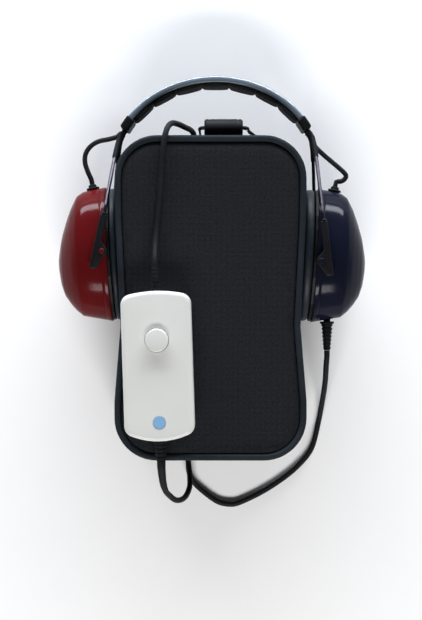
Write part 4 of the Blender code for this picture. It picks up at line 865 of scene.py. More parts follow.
@dataclass
class Case:
    """The zipped case: two woven shells with piping, the zip with its sliders, and the hinge strip."""

    width: float = 0.158
    length: float = 0.2676
    depth: float = 0.095
    corner: float = 0.035
    least_corner: float = 0.004
    headset_inset: float = 0.0038
    waist: float = 0.0050
    shoulder: float = 0.0006
    waist_top: float = 0.060
    waist_top_ramp: float = 0.030
    waist_bottom: float = -0.023
    waist_bottom_ramp: float = 0.062
    wall: float = 0.003
    seam: float = 0.025
    piping: float = 0.0053
    proud: float = 0.0012
    sag: float = 0.0024
    sag_reach: float = 0.009
    tape_width: float = 0.010
    tape_thickness: float = 0.0008
    tooth_pitch: float = 0.0018
    stitch_pitch: float = 0.0034
    hinge_width: float = 0.014
    hinge_ease: float = 0.0002
    top_slider_x: float = -0.004
    bottom_slider_x: float = -0.010
    corner_steps: int = 12
    side_points: int = 54
    wall_points: int = 60
    front_levels: int = 9
    back_levels: int = 4
    face_insets: tuple[float, ...] = (
        0.062, 0.050, 0.038, 0.028, 0.020, 0.015, 0.0115, 0.009, 0.0073, 0.0062)
    face_swell: float = 0.00025
    face_swell_scale: float = 55.0
    fold_share: float = 1.25
    pucker: float = 0.0007
    pucker_scale: float = 70.0
    pucker_stretch: float = 0.4
    pucker_seed: float = 3.0
    tape_give: float = 0.35
    tooth_share: float = 0.55
    tooth_size: Two = (0.0016, 0.0019)
    tooth_reach: float = 0.0005
    stitch_share: float = 0.65
    stitch_size: float = 0.0005
    stitch_reach_share: float = 0.8
    top_exit: ZipExit = ZipExit(-0.0140, 0.0085, 0.0038, 0.0038)
    bottom_exit: ZipExit = ZipExit(-0.0195, 0.0095, 0.0056, 0.0088)

    def half_width(self, y: float) -> float:
        """Give the half width at a place along the case, drawn in beside the cups."""
        side = self.width / 2
        line = ((self.waist_bottom - self.waist_bottom_ramp, side),
                (self.waist_bottom, side - self.waist),
                (self.waist_top, side - self.shoulder),
                (self.waist_top + self.waist_top_ramp, side))
        for (start, low), (end, high) in zip(line, line[1:]):
            if start <= y <= end:
                return low + (high - low) * (y - start) / (end - start)
        return side

    @staticmethod
    def steps(start: float, end: float, count: int) -> list[float]:
        """Give evenly spaced numbers between two others, both left out."""
        return [start + (end - start) * (index + 1) / (count + 1) for index in range(count)]

    def outline(self, inset: float) -> Line:
        """Give the outline, counter-clockwise from the bottom right corner, drawn in by an inset."""
        corner = max(self.corner - inset, self.least_corner)
        across = self.width / 2 - inset - corner
        along = self.length / 2 - inset - corner
        rows = self.steps(-along, along, self.side_points)
        columns = self.steps(across, -across, self.wall_points)
        end = self.length / 2 - inset
        points = Form.arc((across, -along), corner, -QUARTER, 0.0, self.corner_steps)
        points += [Vector((self.half_width(y) - inset, y)) for y in rows]
        points += Form.arc((across, along), corner, 0.0, QUARTER, self.corner_steps)
        points += [Vector((x, end)) for x in columns]
        points += Form.arc((-across, along), corner, QUARTER, 2 * QUARTER, self.corner_steps)
        points += [Vector((inset - self.half_width(y), y)) for y in reversed(rows)]
        points += Form.arc((-across, -along), corner, 2 * QUARTER, 3 * QUARTER, self.corner_steps)
        return points + [Vector((x, -end)) for x in reversed(columns)]

    def gap(self, point: Vector, toward: int) -> float:
        """Give how far a seam edge draws back from the seam at a point of the outline."""
        if abs(point.y) < self.length / 2 - self.corner / 2:
            return 0.0
        way = self.top_exit if point.y > 0 else self.bottom_exit
        return way.gap(point.x, toward)

    def ring(self, inset: float, height: float) -> Line:
        """Give a level ring."""
        return [Vector((point.x, point.y, height)) for point in self.outline(inset)]

    def build(self) -> None:
        """Make every piece of the case."""
        self._shell("case_front_shell", self.depth, 1)
        self._shell("case_back_shell", 0.0, -1)
        self._pipings()
        for place, toward in (("front", 1), ("back", -1)):
            self._tape(place, toward)
        self._hinge()
        for place, x, side in (("top", self.top_slider_x, 1), ("bottom", self.bottom_slider_x, -1)):
            ZipSlider(place, side, Vector((x, side * (self.length / 2 + TOUCH), self.seam))).build()

    def _shell(self, name: str, face: float, toward: int) -> None:
        """Make one half: a soft face, a seat for the piping, side walls, and the lining behind them."""
        rabbet = self.piping + TOUCH
        shelf = face - toward * (self.piping if toward > 0 else rabbet)
        inner = self.proud + self.wall
        rings = self._face_rings(face, rabbet, toward)
        rings.append(self.ring(rabbet, face - toward * self.sag * self.fold_share))
        rings.append(self.ring(rabbet, shelf))
        rings.append(self.ring(self.proud + self.piping / 4, shelf))
        rings += self._wall_rings(shelf, toward)
        rings.append(self._edge(self.proud, toward))
        rings.append(self._edge(inner, toward))
        for inset, height in ((inner, shelf), (rabbet + self.wall, shelf), (rabbet + self.wall, face)):
            rings.append(self.ring(inset, height - toward * self.wall))
        Workshop.piece(name, Form.skin(rings), Finishes.NYLON, "kit", 40.0)

    def _face_rings(self, face: float, rabbet: float, toward: int) -> list[Line]:
        """Give the rings of the face, which sags towards its edge and is a little uneven."""
        rings = []
        for inset in self.face_insets:
            share = min(1.0, (inset - rabbet) / self.sag_reach)
            ring = self.ring(inset, face - toward * self.sag * (1.0 - share) ** 2)
            for point in ring:
                swell = self.face_swell * (0.5 + 0.5 * Form.waves(point, self.face_swell_scale))
                point.z -= toward * swell * min(1.0, share * 2)
            rings.append(ring)
        return rings

    def _wall_rings(self, shelf: float, toward: int) -> list[Line]:
        """Give the rings of the side walls, whose cloth puckers."""
        count = self.front_levels if toward > 0 else self.back_levels
        levels = self.steps(shelf, self.seam + toward * TOUCH / 2, count)
        rings = []
        for index, height in enumerate([shelf - toward * self.piping / 4, *levels]):
            ring = self.ring(self.proud, height)
            for point, drawn in zip(ring, self.ring(self.proud + self.pucker, height)):
                place = Vector((point.x, point.y, point.z * self.pucker_stretch))
                wave = 0.5 + 0.5 * Form.waves(place, self.pucker_scale, self.pucker_seed + toward)
                point.xy = point.xy.lerp(drawn.xy, wave * min(1.0, index / 2))
            rings.append(ring)
        return rings

    def _edge(self, inset: float, toward: int) -> Line:
        """Give a shell's seam edge, drawn back where the zip stands open."""
        base = self.seam + toward * TOUCH / 2
        return [Vector((*point, base + toward * self.gap(point, toward))) for point in self.outline(inset)]

    def _pipings(self) -> None:
        """Sew the round cords round both faces."""
        radius = self.piping / 2
        for place, height in (("front", self.depth - self.piping + TOUCH + radius), ("back", radius)):
            mesh = Form.tube(f"{place}_piping", self.ring(radius, height), radius, 5, True)
            Workshop.dress(f"{place}_piping", mesh, Finishes.PIPING, "kit", 60.0)

    def _zip_path(self, inset: float) -> Line:
        """Give the zip's line: along the top wall from its right end, down the left, and along the bottom."""
        outline = self.outline(inset)
        start = 2 * self.corner_steps + self.side_points + 1
        return outline[start:] + outline[:1]

    def _even_path(self, inset: float, step: float) -> Line:
        """Give the zip's line on the floor, read at an even step."""
        return Curve.even([Vector((*point, 0.0)) for point in self._zip_path(inset)], step)

    def _tape(self, place: str, toward: int) -> None:
        """Make one half of the zip: its tape, its teeth and its stitches."""
        outer, inner = self._zip_path(TOUCH / 2), self._zip_path(TOUCH / 2 + self.tape_thickness)
        rings = []
        for out_point, in_point in zip(outer, inner):
            back = self.gap(out_point, toward)
            near = self.seam + toward * (TOUCH / 2 + back)
            far = self.seam + toward * (self.tape_width + back * self.tape_give)
            corners = ((out_point, near), (in_point, near), (in_point, far), (out_point, far))
            rings.append([Vector((*point, height)) for point, height in corners])
        Workshop.piece(f"zip_tape_{place}", Form.skin(rings), Finishes.TAPE, "kit")
        teeth = bmesh.new()
        line = self._even_path(0.0, self.tooth_pitch / 2)[(toward > 0)::2]
        size = Vector((self.tooth_pitch * self.tooth_share, *self.tooth_size))
        self._row(teeth, line, size, toward, self.tooth_reach)
        Workshop.piece(f"zip_teeth_{place}", teeth, Finishes.TEETH, "kit")
        stitches = bmesh.new()
        line = self._even_path(TOUCH / 2, self.stitch_pitch)
        size = Vector((self.stitch_pitch * self.stitch_share, self.stitch_size, self.stitch_size))
        self._row(stitches, line, size, toward, self.tape_width * self.stitch_reach_share)
        Workshop.piece(f"zip_stitches_{place}", stitches, Finishes.THREAD, "kit")

    def _row(self, made: BMesh, line: Line, size: Vector, toward: int, reach: float) -> None:
        """Add a row of small blocks along a line, at a reach from the seam."""
        for before, point, after in zip(line, line[1:], line[2:]):
            along = (after - before).normalized()
            height = self.seam + toward * (reach + self.gap(point, toward))
            turn = Matrix.Rotation(math.atan2(along.y, along.x), 4, "Z")
            place = Matrix.Translation((point.x, point.y, height)) @ turn @ Matrix.Diagonal((*size, 1.0))
            bmesh.ops.create_cube(made, size=1.0, matrix=place)

    def _hinge(self) -> None:
        """Sew the hinge strip over the seam on the right wall."""
        low = Vector((self.half_width(self.waist_bottom), self.waist_bottom))
        high = Vector((self.half_width(self.waist_top), self.waist_top))
        length = (high - low).length
        middle = (low + high) / 2
        lean = Matrix.Rotation(-math.atan2(high.x - low.x, high.y - low.y), 4, "Z")
        inset = (TOUCH + self.tape_thickness) / 2
        place = Matrix.Translation((middle.x - inset, middle.y, self.seam)) @ lean
        size = Vector((self.tape_thickness, length, self.hinge_width))
        strip = Form.brick(size, place, self.hinge_ease, 2)
        Workshop.piece("hinge_strip", strip, Finishes.NYLON, "kit")


@dataclass
class ZipSlider:
    """One of the zip's sliders, with the pull that hangs from it."""

    place: str
    side: int
    seat: Vector
    size: Three = (0.008, 0.0035, 0.011)
    base_share: float = 0.55
    base_shift: float = -0.22
    base_ease: float = 0.0008
    bridge_shares: Three = (0.35, 0.6, 0.75)
    bridge_shift: float = 0.2
    bridge_ease: float = 0.0006
    barrel: float = 0.0011
    barrel_reach: float = 0.003
    tab: Three = (0.006, 0.0014, 0.0148)
    tab_ease: float = 0.0005
    tab_drop: float = 0.0086
    hole: float = 0.0012
    hole_reach: float = 0.002
    hole_drop: float = 0.0128

    def build(self) -> None:
        """Make the slider and its pull."""
        self._slider()
        self._pull()

    def _slider(self) -> None:
        """Make the slider: a base and the bridge over it."""
        wide, deep, tall = self.size
        outward = Vector((0.0, self.side * deep, 0.0))
        centre = self.seat + outward / 2
        base = Vector((wide, deep * self.base_share, tall))
        place = Matrix.Translation(centre + outward * self.base_shift)
        made = Form.brick(base, place, self.base_ease, 3)
        bridge = Vector(share * length for share, length in zip(self.bridge_shares, self.size))
        place = Matrix.Translation(centre + outward * self.bridge_shift)
        Form.brick(bridge, place, self.bridge_ease, 3, made)
        Workshop.piece(f"{self.place}_zip_slider", made, Finishes.GUNMETAL, f"{self.place}_slider")

    def _pull(self) -> None:
        """Make the pull: a tab with a hole, on a barrel."""
        axis = self.seat + Vector((0.0, self.side * (self.size[1] + TOUCH + self.barrel), 0.0))
        tab = Form.brick(Vector(self.tab), Matrix.Translation(axis - UP * self.tab_drop), self.tab_ease, 3)
        hole = Form.turned(Form.rod(self.hole, -self.hole_reach, self.hole_reach),
                           axis - UP * self.hole_drop, Vector((0.0, 1.0, 0.0)), 20)
        mesh = Workshop.carved(f"{self.place}_tab", tab, [hole])
        made = Form.turned(Form.pin(self.barrel, self.barrel_reach), axis, Vector((1.0, 0.0, 0.0)), 20)
        made.from_mesh(mesh)
        Workshop.piece(f"{self.place}_zip_pull", made, Finishes.GUNMETAL, f"{self.place}_pull")


# The carry handle


@dataclass
class CarryHandle:
    """The webbing strap with its grip, and the patches that hold it."""

    base_y: float = 0.1358
    crown_y: float = 0.1441
    height: float = 0.060
    left_x: float = -0.008
    right_x: float = 0.040
    middle_x: float = 0.011
    grip_length: float = 0.0325
    grip_diameter: float = 0.0148
    strap_width: float = 0.012
    strap_thickness: float = 0.0018
    barrel: float = 0.0016
    strap_step: float = 0.0015
    strap_flat: float = 0.4
    gather: float = 0.009
    grip_steps: int = 32
    grip_rounding: float = 0.14
    grip_end_share: float = 0.78
    binding: Two = (0.70, 0.76)
    binding_share: float = 0.94
    patch: Three = (0.012, 0.001, 0.020)
    patch_y: float = 0.1334
    patch_ease: float = 0.0003
    stitch_size: float = 0.0004
    stitch_rise: float = 0.00055
    stitch_share: float = 0.65
    row_count: int = 5
    row_share: float = 0.8
    row_reach: float = 0.42
    cross_count: int = 9
    cross_share: float = 0.85
    cross_turn: float = 1.05

    def build(self) -> None:
        """Make every piece of the handle."""
        self._strap()
        self._grip()
        for name, x in (("left", self.left_x), ("right", self.right_x)):
            self._patch(name, x)

    def _line(self) -> Line:
        """Give the strap's middle line."""
        half, thick = self.grip_length / 2, self.strap_thickness
        left, right = self.middle_x - half, self.middle_x + half
        bend_y = self.base_y + (self.crown_y - self.base_y) * 0.6
        points = ((self.left_x, self.base_y), (left - 2 * thick, bend_y), (left - thick / 2, self.crown_y),
                  (right + thick / 2, self.crown_y), (right + 3 * thick, bend_y), (self.right_x, self.base_y))
        return Curve.smooth([(x, y, self.height) for x, y in points], self.strap_step)

    def _strap(self) -> None:
        """Make the strap, gathered to a roll at both ends."""
        line = self._line()
        ease, flat = self.strap_thickness / 3, self.strap_flat
        rings = []
        for index, point in enumerate(line):
            before, after = line[max(0, index - 1)], line[min(len(line) - 1, index + 1)]
            along = (after - before).normalized()
            across = Vector((-along.y, along.x, 0.0)) * self.strap_thickness / 2
            from_end = min(index, len(line) - 1 - index) * self.strap_step
            share = min(1.0, from_end / self.gather)
            half = self.barrel + (self.strap_width / 2 - self.barrel) * share * share * (3 - 2 * share)
            edge = ((1, ease), (flat, 0), (-flat, 0), (-1, ease))
            rings.append([point - across * side * rise + UP * (half - drop) * rise
                          for rise in (-1, 1) for side, drop in edge])
        made = Form.skin(rings)
        for end in (line[0], line[-1]):
            profile = Form.pin(self.barrel, self.strap_thickness * 2)
            Form.turned(profile, end, Vector((1.0, 0.0, 0.0)), 20, made)
        Workshop.piece("handle_strap", made, Finishes.WEBBING, "handle")

    def _grip(self) -> None:
        """Make the padded roll round the strap, bound at both ends."""
        half, radius = self.grip_length / 2, self.grip_diameter / 2
        low, high = self.binding
        profile = [(0.0, -half)]
        for index in range(self.grip_steps + 1):
            share = 2 * index / self.grip_steps - 1
            over = max(0.0, (abs(share) - 1 + self.grip_rounding) / self.grip_rounding)
            rounded = math.sqrt(max(0.0, 1.0 - over ** 2)) * (1 - self.grip_end_share) + self.grip_end_share
            bound = self.binding_share if low < abs(share) < high else 1.0
            profile.append((radius * rounded * bound, half * share))
        profile.append((0.0, half))
        centre = Vector((self.middle_x, self.crown_y, self.height))
        made = Form.turned(profile, centre, Vector((1.0, 0.0, 0.0)), 48)
        Workshop.piece("handle_grip", made, Finishes.RUBBER, "handle", 50.0)

    def _patch(self, name: str, x: float) -> None:
        """Sew one patch on the top wall."""
        centre = Vector((x, self.patch_y, self.height))
        made = Form.brick(Vector(self.patch), Matrix.Translation(centre), self.patch_ease, 2)
        Workshop.piece(f"handle_anchor_{name}", made, Finishes.WEBBING, "kit")
        stitches = bmesh.new()
        wide, _, tall = self.patch
        row = (wide * self.row_share, self.row_count)
        cross = (tall * self.cross_share, self.cross_count)
        runs = ((tall * self.row_reach, 0.0, *row), (-tall * self.row_reach, 0.0, *row),
                (0.0, self.cross_turn, *cross), (0.0, -self.cross_turn, *cross))
        for rise, turn, length, count in runs:
            size = (length / count * self.stitch_share, self.stitch_size, self.stitch_size, 1.0)
            for index in range(count):
                reach = length * ((index + 0.5) / count - 0.5)
                offset = Vector((reach * math.cos(turn), self.stitch_rise, rise + reach * math.sin(turn)))
                place = (Matrix.Translation(centre + offset) @ Matrix.Rotation(-turn, 4, "Y")
                         @ Matrix.Diagonal(size))
                bmesh.ops.create_cube(stitches, size=1.0, matrix=place)
        Workshop.piece(f"handle_stitches_{name}", stitches, Finishes.THREAD, "kit")


# The headband


@dataclass
class Headband:
    """The sprung headband: moulded cover, lobed pad, end blocks and two steel wires."""

    centre: Two = (0.0045, 0.112)
    radius_x: float = 0.0895
    radius_y: float = 0.0765
    height: float = 0.048
    width: float = 0.024
    cover: float = 0.0018
    lip: float = 0.0053
    pad_depth: float = 0.0034
    lobes: int = 7
    groove: float = 0.0022
    fullness: float = 0.35
    end_angle: float = math.radians(34.2)
    block_angle: float = math.radians(8.4)
    block_wall: float = 0.0014
    block_ease: float = 0.0016
    block_inner_ease: float = 0.0008
    block_draw: float = 0.0007
    block_taper: float = 0.2
    wire: float = 0.0030
    wire_spread: float = 0.008
    wire_depth: float = 0.0036
    arm_spread: float = 0.045
    wire_in_arm: Two = (0.034, 0.017)
    bend_angle: float = math.radians(12)
    bend_spread: float = 1.5
    sleeve: float = 0.0021
    sleeve_waist: float = 0.84
    sleeve_points: int = 10
    sleeve_step: float = 0.0005
    cover_steps: int = 80
    lobe_steps: int = 16
    block_steps: int = 20
    arch_steps: int = 16
    lip_ease: float = 0.0004
    inner_ease: float = 0.0006

    def point(self, angle: float, depth: float, height: float) -> Vector:
        """Give a point of the band: angle from +X, depth below its outer surface, height."""
        cosine, sine = math.cos(angle), math.sin(angle)
        outward = Vector((cosine / self.radius_x, sine / self.radius_y)).normalized()
        surface = Vector(self.centre) + Vector((self.radius_x * cosine, self.radius_y * sine))
        place = surface - outward * depth
        return Vector((place.x, place.y, self.height + height))

    def sweep(self, section: Callable[[float], Section], start: float, end: float, steps: int) -> list[Line]:
        """Sweep a section of depth and height pairs along the band."""
        rings = []
        for index in range(steps + 1):
            angle = start + (end - start) * index / steps
            rings.append([self.point(angle, depth, height) for depth, height in section(index / steps)])
        return rings

    def build(self, arms: Sequence["Arm"]) -> None:
        """Make every piece of the headband, its wires running into the arms."""
        start, end = math.pi - self.end_angle, self.end_angle
        cover = Form.skin(self.sweep(lambda share: self._cover_section(), start, end, self.cover_steps))
        Workshop.piece("headband_cover", cover, Finishes.BAND, "kit", 50.0)
        pad = Form.skin(self.sweep(self._pad_section, start, end, self.lobe_steps * self.lobes))
        padding = Workshop.piece("headband_pad", pad, Finishes.FOAM, "kit", 70.0)
        gap = TOUCH / self.radius_y
        self._block("red_end_block", start + gap, start + self.block_angle)
        self._block("blue_end_block", end - gap, end - self.block_angle)
        for name, side in (("front", 1), ("rear", -1)):
            line = self._wire_line(side, arms)
            mesh = Form.tube(f"{name}_spring_wire", line, self.wire / 2, 4)
            Workshop.dress(f"{name}_spring_wire", mesh, Finishes.STEEL, "kit", 60.0)
            self._sleeves(name, line)

    def _cover_section(self) -> Section:
        """Give the cover's channel, rounded along its two edges."""
        half, wall, lip = self.width / 2, self.cover, self.lip
        tip, ease = self.lip_ease, self.inner_ease
        edge = [(depth, height - half) for depth, height in Form.eased(wall * 1.1, 6)]
        outside = [(lip - tip, -half), *edge, (0.0, 0.0)]
        outside += [(depth, -height) for depth, height in reversed(edge)]
        inside = [(lip - tip, half), (lip, half - tip), (lip, half - wall + ease / 2),
                  (wall + ease, half - wall), (wall, half - wall - ease)]
        return outside + inside + [(depth, -height) for depth, height in reversed(inside[1:])]

    def _pad_section(self, share: float) -> Section:
        """Give the pad's section, which swells and draws in as its lobes do."""
        lobe = abs(math.sin(math.pi * self.lobes * share)) ** self.fullness
        drawn = self.groove * (1 - lobe)
        top = self.lip + TOUCH
        bottom = top + self.pad_depth - drawn
        bulge = self.width / 2 - self.cover / 2 - drawn / 2
        ease = self.inner_ease
        edge = [(bottom - low, bulge - side) for low, side in Form.eased(self.pad_depth / 3, 5)]
        points = [(top, ease - bulge), (top, bulge - ease), (top + ease, bulge), *edge]
        points += [(depth, -height) for depth, height in reversed(edge)]
        return points + [(top + ease, -bulge)]

    @staticmethod
    def _box(top: float, bottom: float, side: float, ease: float) -> Section:
        """Give a rounded rectangle of depth and height pairs."""
        corners = ((top + ease, side - ease, 2), (bottom - ease, side - ease, 1),
                   (bottom - ease, ease - side, 0), (top + ease, ease - side, 3))
        points = []
        for depth, height, quarter in corners:
            for index in range(5):
                turn = QUARTER * (quarter - index / 4)
                points.append((depth + ease * math.cos(turn), height + ease * math.sin(turn)))
        return points

    def _block(self, name: str, start: float, end: float) -> None:
        """Make a rounded hollow end block that clamps the wires."""
        wall = self.block_wall
        half = self.width / 2 + wall / 2
        low = self.lip + wall + 2 * TOUCH

        def outer(share: float) -> Section:
            """Draw the outside in at both ends."""
            drawn = self.block_draw * max(0.0, (abs(2 * share - 1) - 1) / self.block_taper + 1) ** 2
            return self._box(-wall / 2 + drawn, low - drawn, half - drawn, self.block_ease)

        inner = self._box(wall / 2, low - wall, half - wall, self.block_inner_ease)
        rings = self.sweep(outer, start, end, self.block_steps)
        rings += reversed(self.sweep(lambda share: inner, start, end, self.block_steps))
        Workshop.piece(name, Form.skin(rings, joined=True), Finishes.BLACK, "kit", 50.0)

    def _wire_line(self, side: int, arms: Sequence["Arm"]) -> Line:
        """Give a wire's line from one arm over the band to the other, at the front or the rear."""
        arm_height = self.height + side * self.arm_spread
        block_end = self.end_angle - self.block_angle
        sides = []
        for arm in arms:
            inside = [arm.mouth + arm.down * reach for reach in (*self.wire_in_arm, -arm.width)]
            angle = (block_end if arm.side > 0 else math.pi - block_end) - arm.side * self.bend_angle
            bend = self.point(angle, self.wire_depth, side * self.wire_spread * self.bend_spread)
            sides.append([Vector((*place, arm_height)) for place in inside] + [bend])
        start, steps = math.pi - block_end, self.arch_steps
        angles = [start + (block_end - start) * index / steps for index in range(steps + 1)]
        arch = [self.point(angle, self.wire_depth, side * self.wire_spread) for angle in angles]
        route = sides[0] + arch + list(reversed(sides[1]))
        return route[:2] + Curve.smooth(route[2:-2], self.wire) + route[-2:]

    def _sleeves(self, name: str, line: Line) -> None:
        """Wrap ribbed sleeves round a wire, just below both end blocks."""
        block_end = self.end_angle - self.block_angle
        for colour, angle in (("red", math.pi - block_end), ("blue", block_end)):
            gate = self.point(angle, self.wire_depth, 0.0)
            near = min(range(len(line)), key=lambda index: (line[index].xy - gate.xy).length)
            first = near - self.sleeve_points if colour == "red" else near + 1
            fine = Curve.even(line[first:first + self.sleeve_points], self.sleeve_step)
            waist = self.sleeve * self.sleeve_waist
            radii = [waist if index % 4 == 3 else self.sleeve for index in range(len(fine))]
            radii[0] = radii[-1] = self.wire / 2
            mesh = Form.tube(f"{colour}_{name}_sleeve", fine, radii, 4)
            Workshop.dress(f"{colour}_{name}_sleeve", mesh, Finishes.RUBBER, "kit", 40.0)


# Ear cups and their arms


@dataclass
class Arm:
    """The sliding arms of one ear cup, at its front and its rear."""

    colour: str
    side: int
    mouth: Vector
    foot: Vector
    pivot: Vector
    finish: Finish
    length: float = 0.0455
    width: float = 0.0058
    thickness: float = 0.0052
    boss: float = 0.0085
    pin: float = 0.0040
    pin_reach: float = 0.0391
    height: float = 0.048
    spread: float = 0.045
    ease: float = 0.0011
    sharp: float = math.radians(25)
    web_from: float = math.radians(35)
    web_to: float = math.radians(145)
    pin_out: float = 0.0006
    pin_head: float = 1.2
    cap_radius: float = 0.0021
    cap_rise: float = 0.0005
    cap_gap: float = 0.00005
    collar_bore: float = 0.0019
    collar_radius: float = 0.0028
    collar_rise: float = 0.0014
    collar_ease: float = 0.0003

    @property
    def down(self) -> Vector:
        """Give the direction from the mouth to the foot."""
        return (self.foot - self.mouth).normalized()

    def _outline(self) -> Line:
        """Give the arm's outline: a straight sleeve with a web to the round boss."""
        down = self.down
        inward = Vector((-self.side * abs(down.y), -abs(down.x)))
        offset = self.pivot - self.mouth
        along, across = offset.dot(down), offset.dot(inward)
        half, boss = self.width / 2, self.boss / 2
        points = [Vector((0.0, -half)), Vector((self.length, -half)), Vector((self.length, half))]
        points += Form.arc((along, across), boss, self.web_from, self.web_to, 12)
        points += [Vector((along - boss * 2, half)), Vector((0.0, half))]
        return [self.mouth + down * point.x + inward * point.y for point in points]

    def build(self) -> None:
        """Make both arms with their pins, caps and collars."""
        for place, end in (("front", 1), ("rear", -1)):
            middle = self.height + end * self.spread
            inner = self.height + end * self.pin_reach
            reach = abs(middle - inner) + self.thickness / 2 + self.pin_out
            made = self._plate(middle - self.thickness / 2)
            Form.turned(self._pin_profile(reach), Vector((*self.pivot, inner)), UP * end, 24, made)
            Workshop.piece(f"{self.colour}_{place}_arm", made, Finishes.BLACK, f"{self.colour}_carriage")
            self._collar(f"{self.colour}_{place}_collar", middle)
            top = Vector((*self.pivot, inner + end * (reach + self.cap_gap)))
            radius, rise = self.cap_radius, self.cap_rise
            profile = ((0.0, 0.0), (radius, 0.0), (radius - 0.0002, rise - 0.0002), (0.0, rise))
            cap = Form.turned(profile, top, UP * end, 24)
            Workshop.piece(f"{self.colour}_{place}_pin_cap", cap, self.finish, f"{self.colour}_carriage")

    def _plate(self, low: float) -> BMesh:
        """Give the arm's flat body with eased edges, from its lower face up."""
        made = bmesh.new()
        _, edges = Form.ring(made, [Vector((*point, low)) for point in self._outline()])
        face = bmesh.ops.edgeloop_fill(made, edges=edges)["faces"]
        grown = bmesh.ops.extrude_face_region(made, geom=face)["geom"]
        verts = [part for part in grown if isinstance(part, bmesh.types.BMVert)]
        bmesh.ops.translate(made, verts=verts, vec=UP * self.thickness)
        bmesh.ops.recalc_face_normals(made, faces=made.faces)
        edges = [edge for edge in made.edges if edge.calc_face_angle(0.0) > self.sharp]
        bmesh.ops.bevel(made, geom=edges, offset=self.ease, segments=3, affect="EDGES", profile=0.5,
                        material=-1)
        return made

    def _pin_profile(self, reach: float) -> Section:
        """Give the pin's profile, with a low head at its outer end."""
        radius = self.pin / 2
        head = radius * self.pin_head
        return [(0.0, 0.0), (radius, 0.0), (radius, reach - 0.0008), (head, reach - 0.0008),
                (head, reach - 0.0003), (radius, reach), (0.0, reach)]

    def _collar(self, name: str, middle: float) -> None:
        """Close an arm's mouth with a metal collar round the wire."""
        across = Vector((-self.down.y, self.down.x, 0.0))
        turns = [math.tau * index / 24 for index in range(24)]
        bore, outer, rise, ease = self.collar_bore, self.collar_radius, self.collar_rise, self.collar_ease
        section = ((bore, 0.0), (outer, 0.0), (outer, rise - ease), (outer - ease, rise), (bore, rise))
        rings = []
        for radius, reach in section:
            centre = Vector((*(self.mouth - self.down * reach), middle))
            rings.append([centre + (across * math.cos(turn) + UP * math.sin(turn)) * radius for turn in turns])
        Workshop.piece(name, Form.skin(rings, joined=True), Finishes.STEEL, f"{self.colour}_carriage")


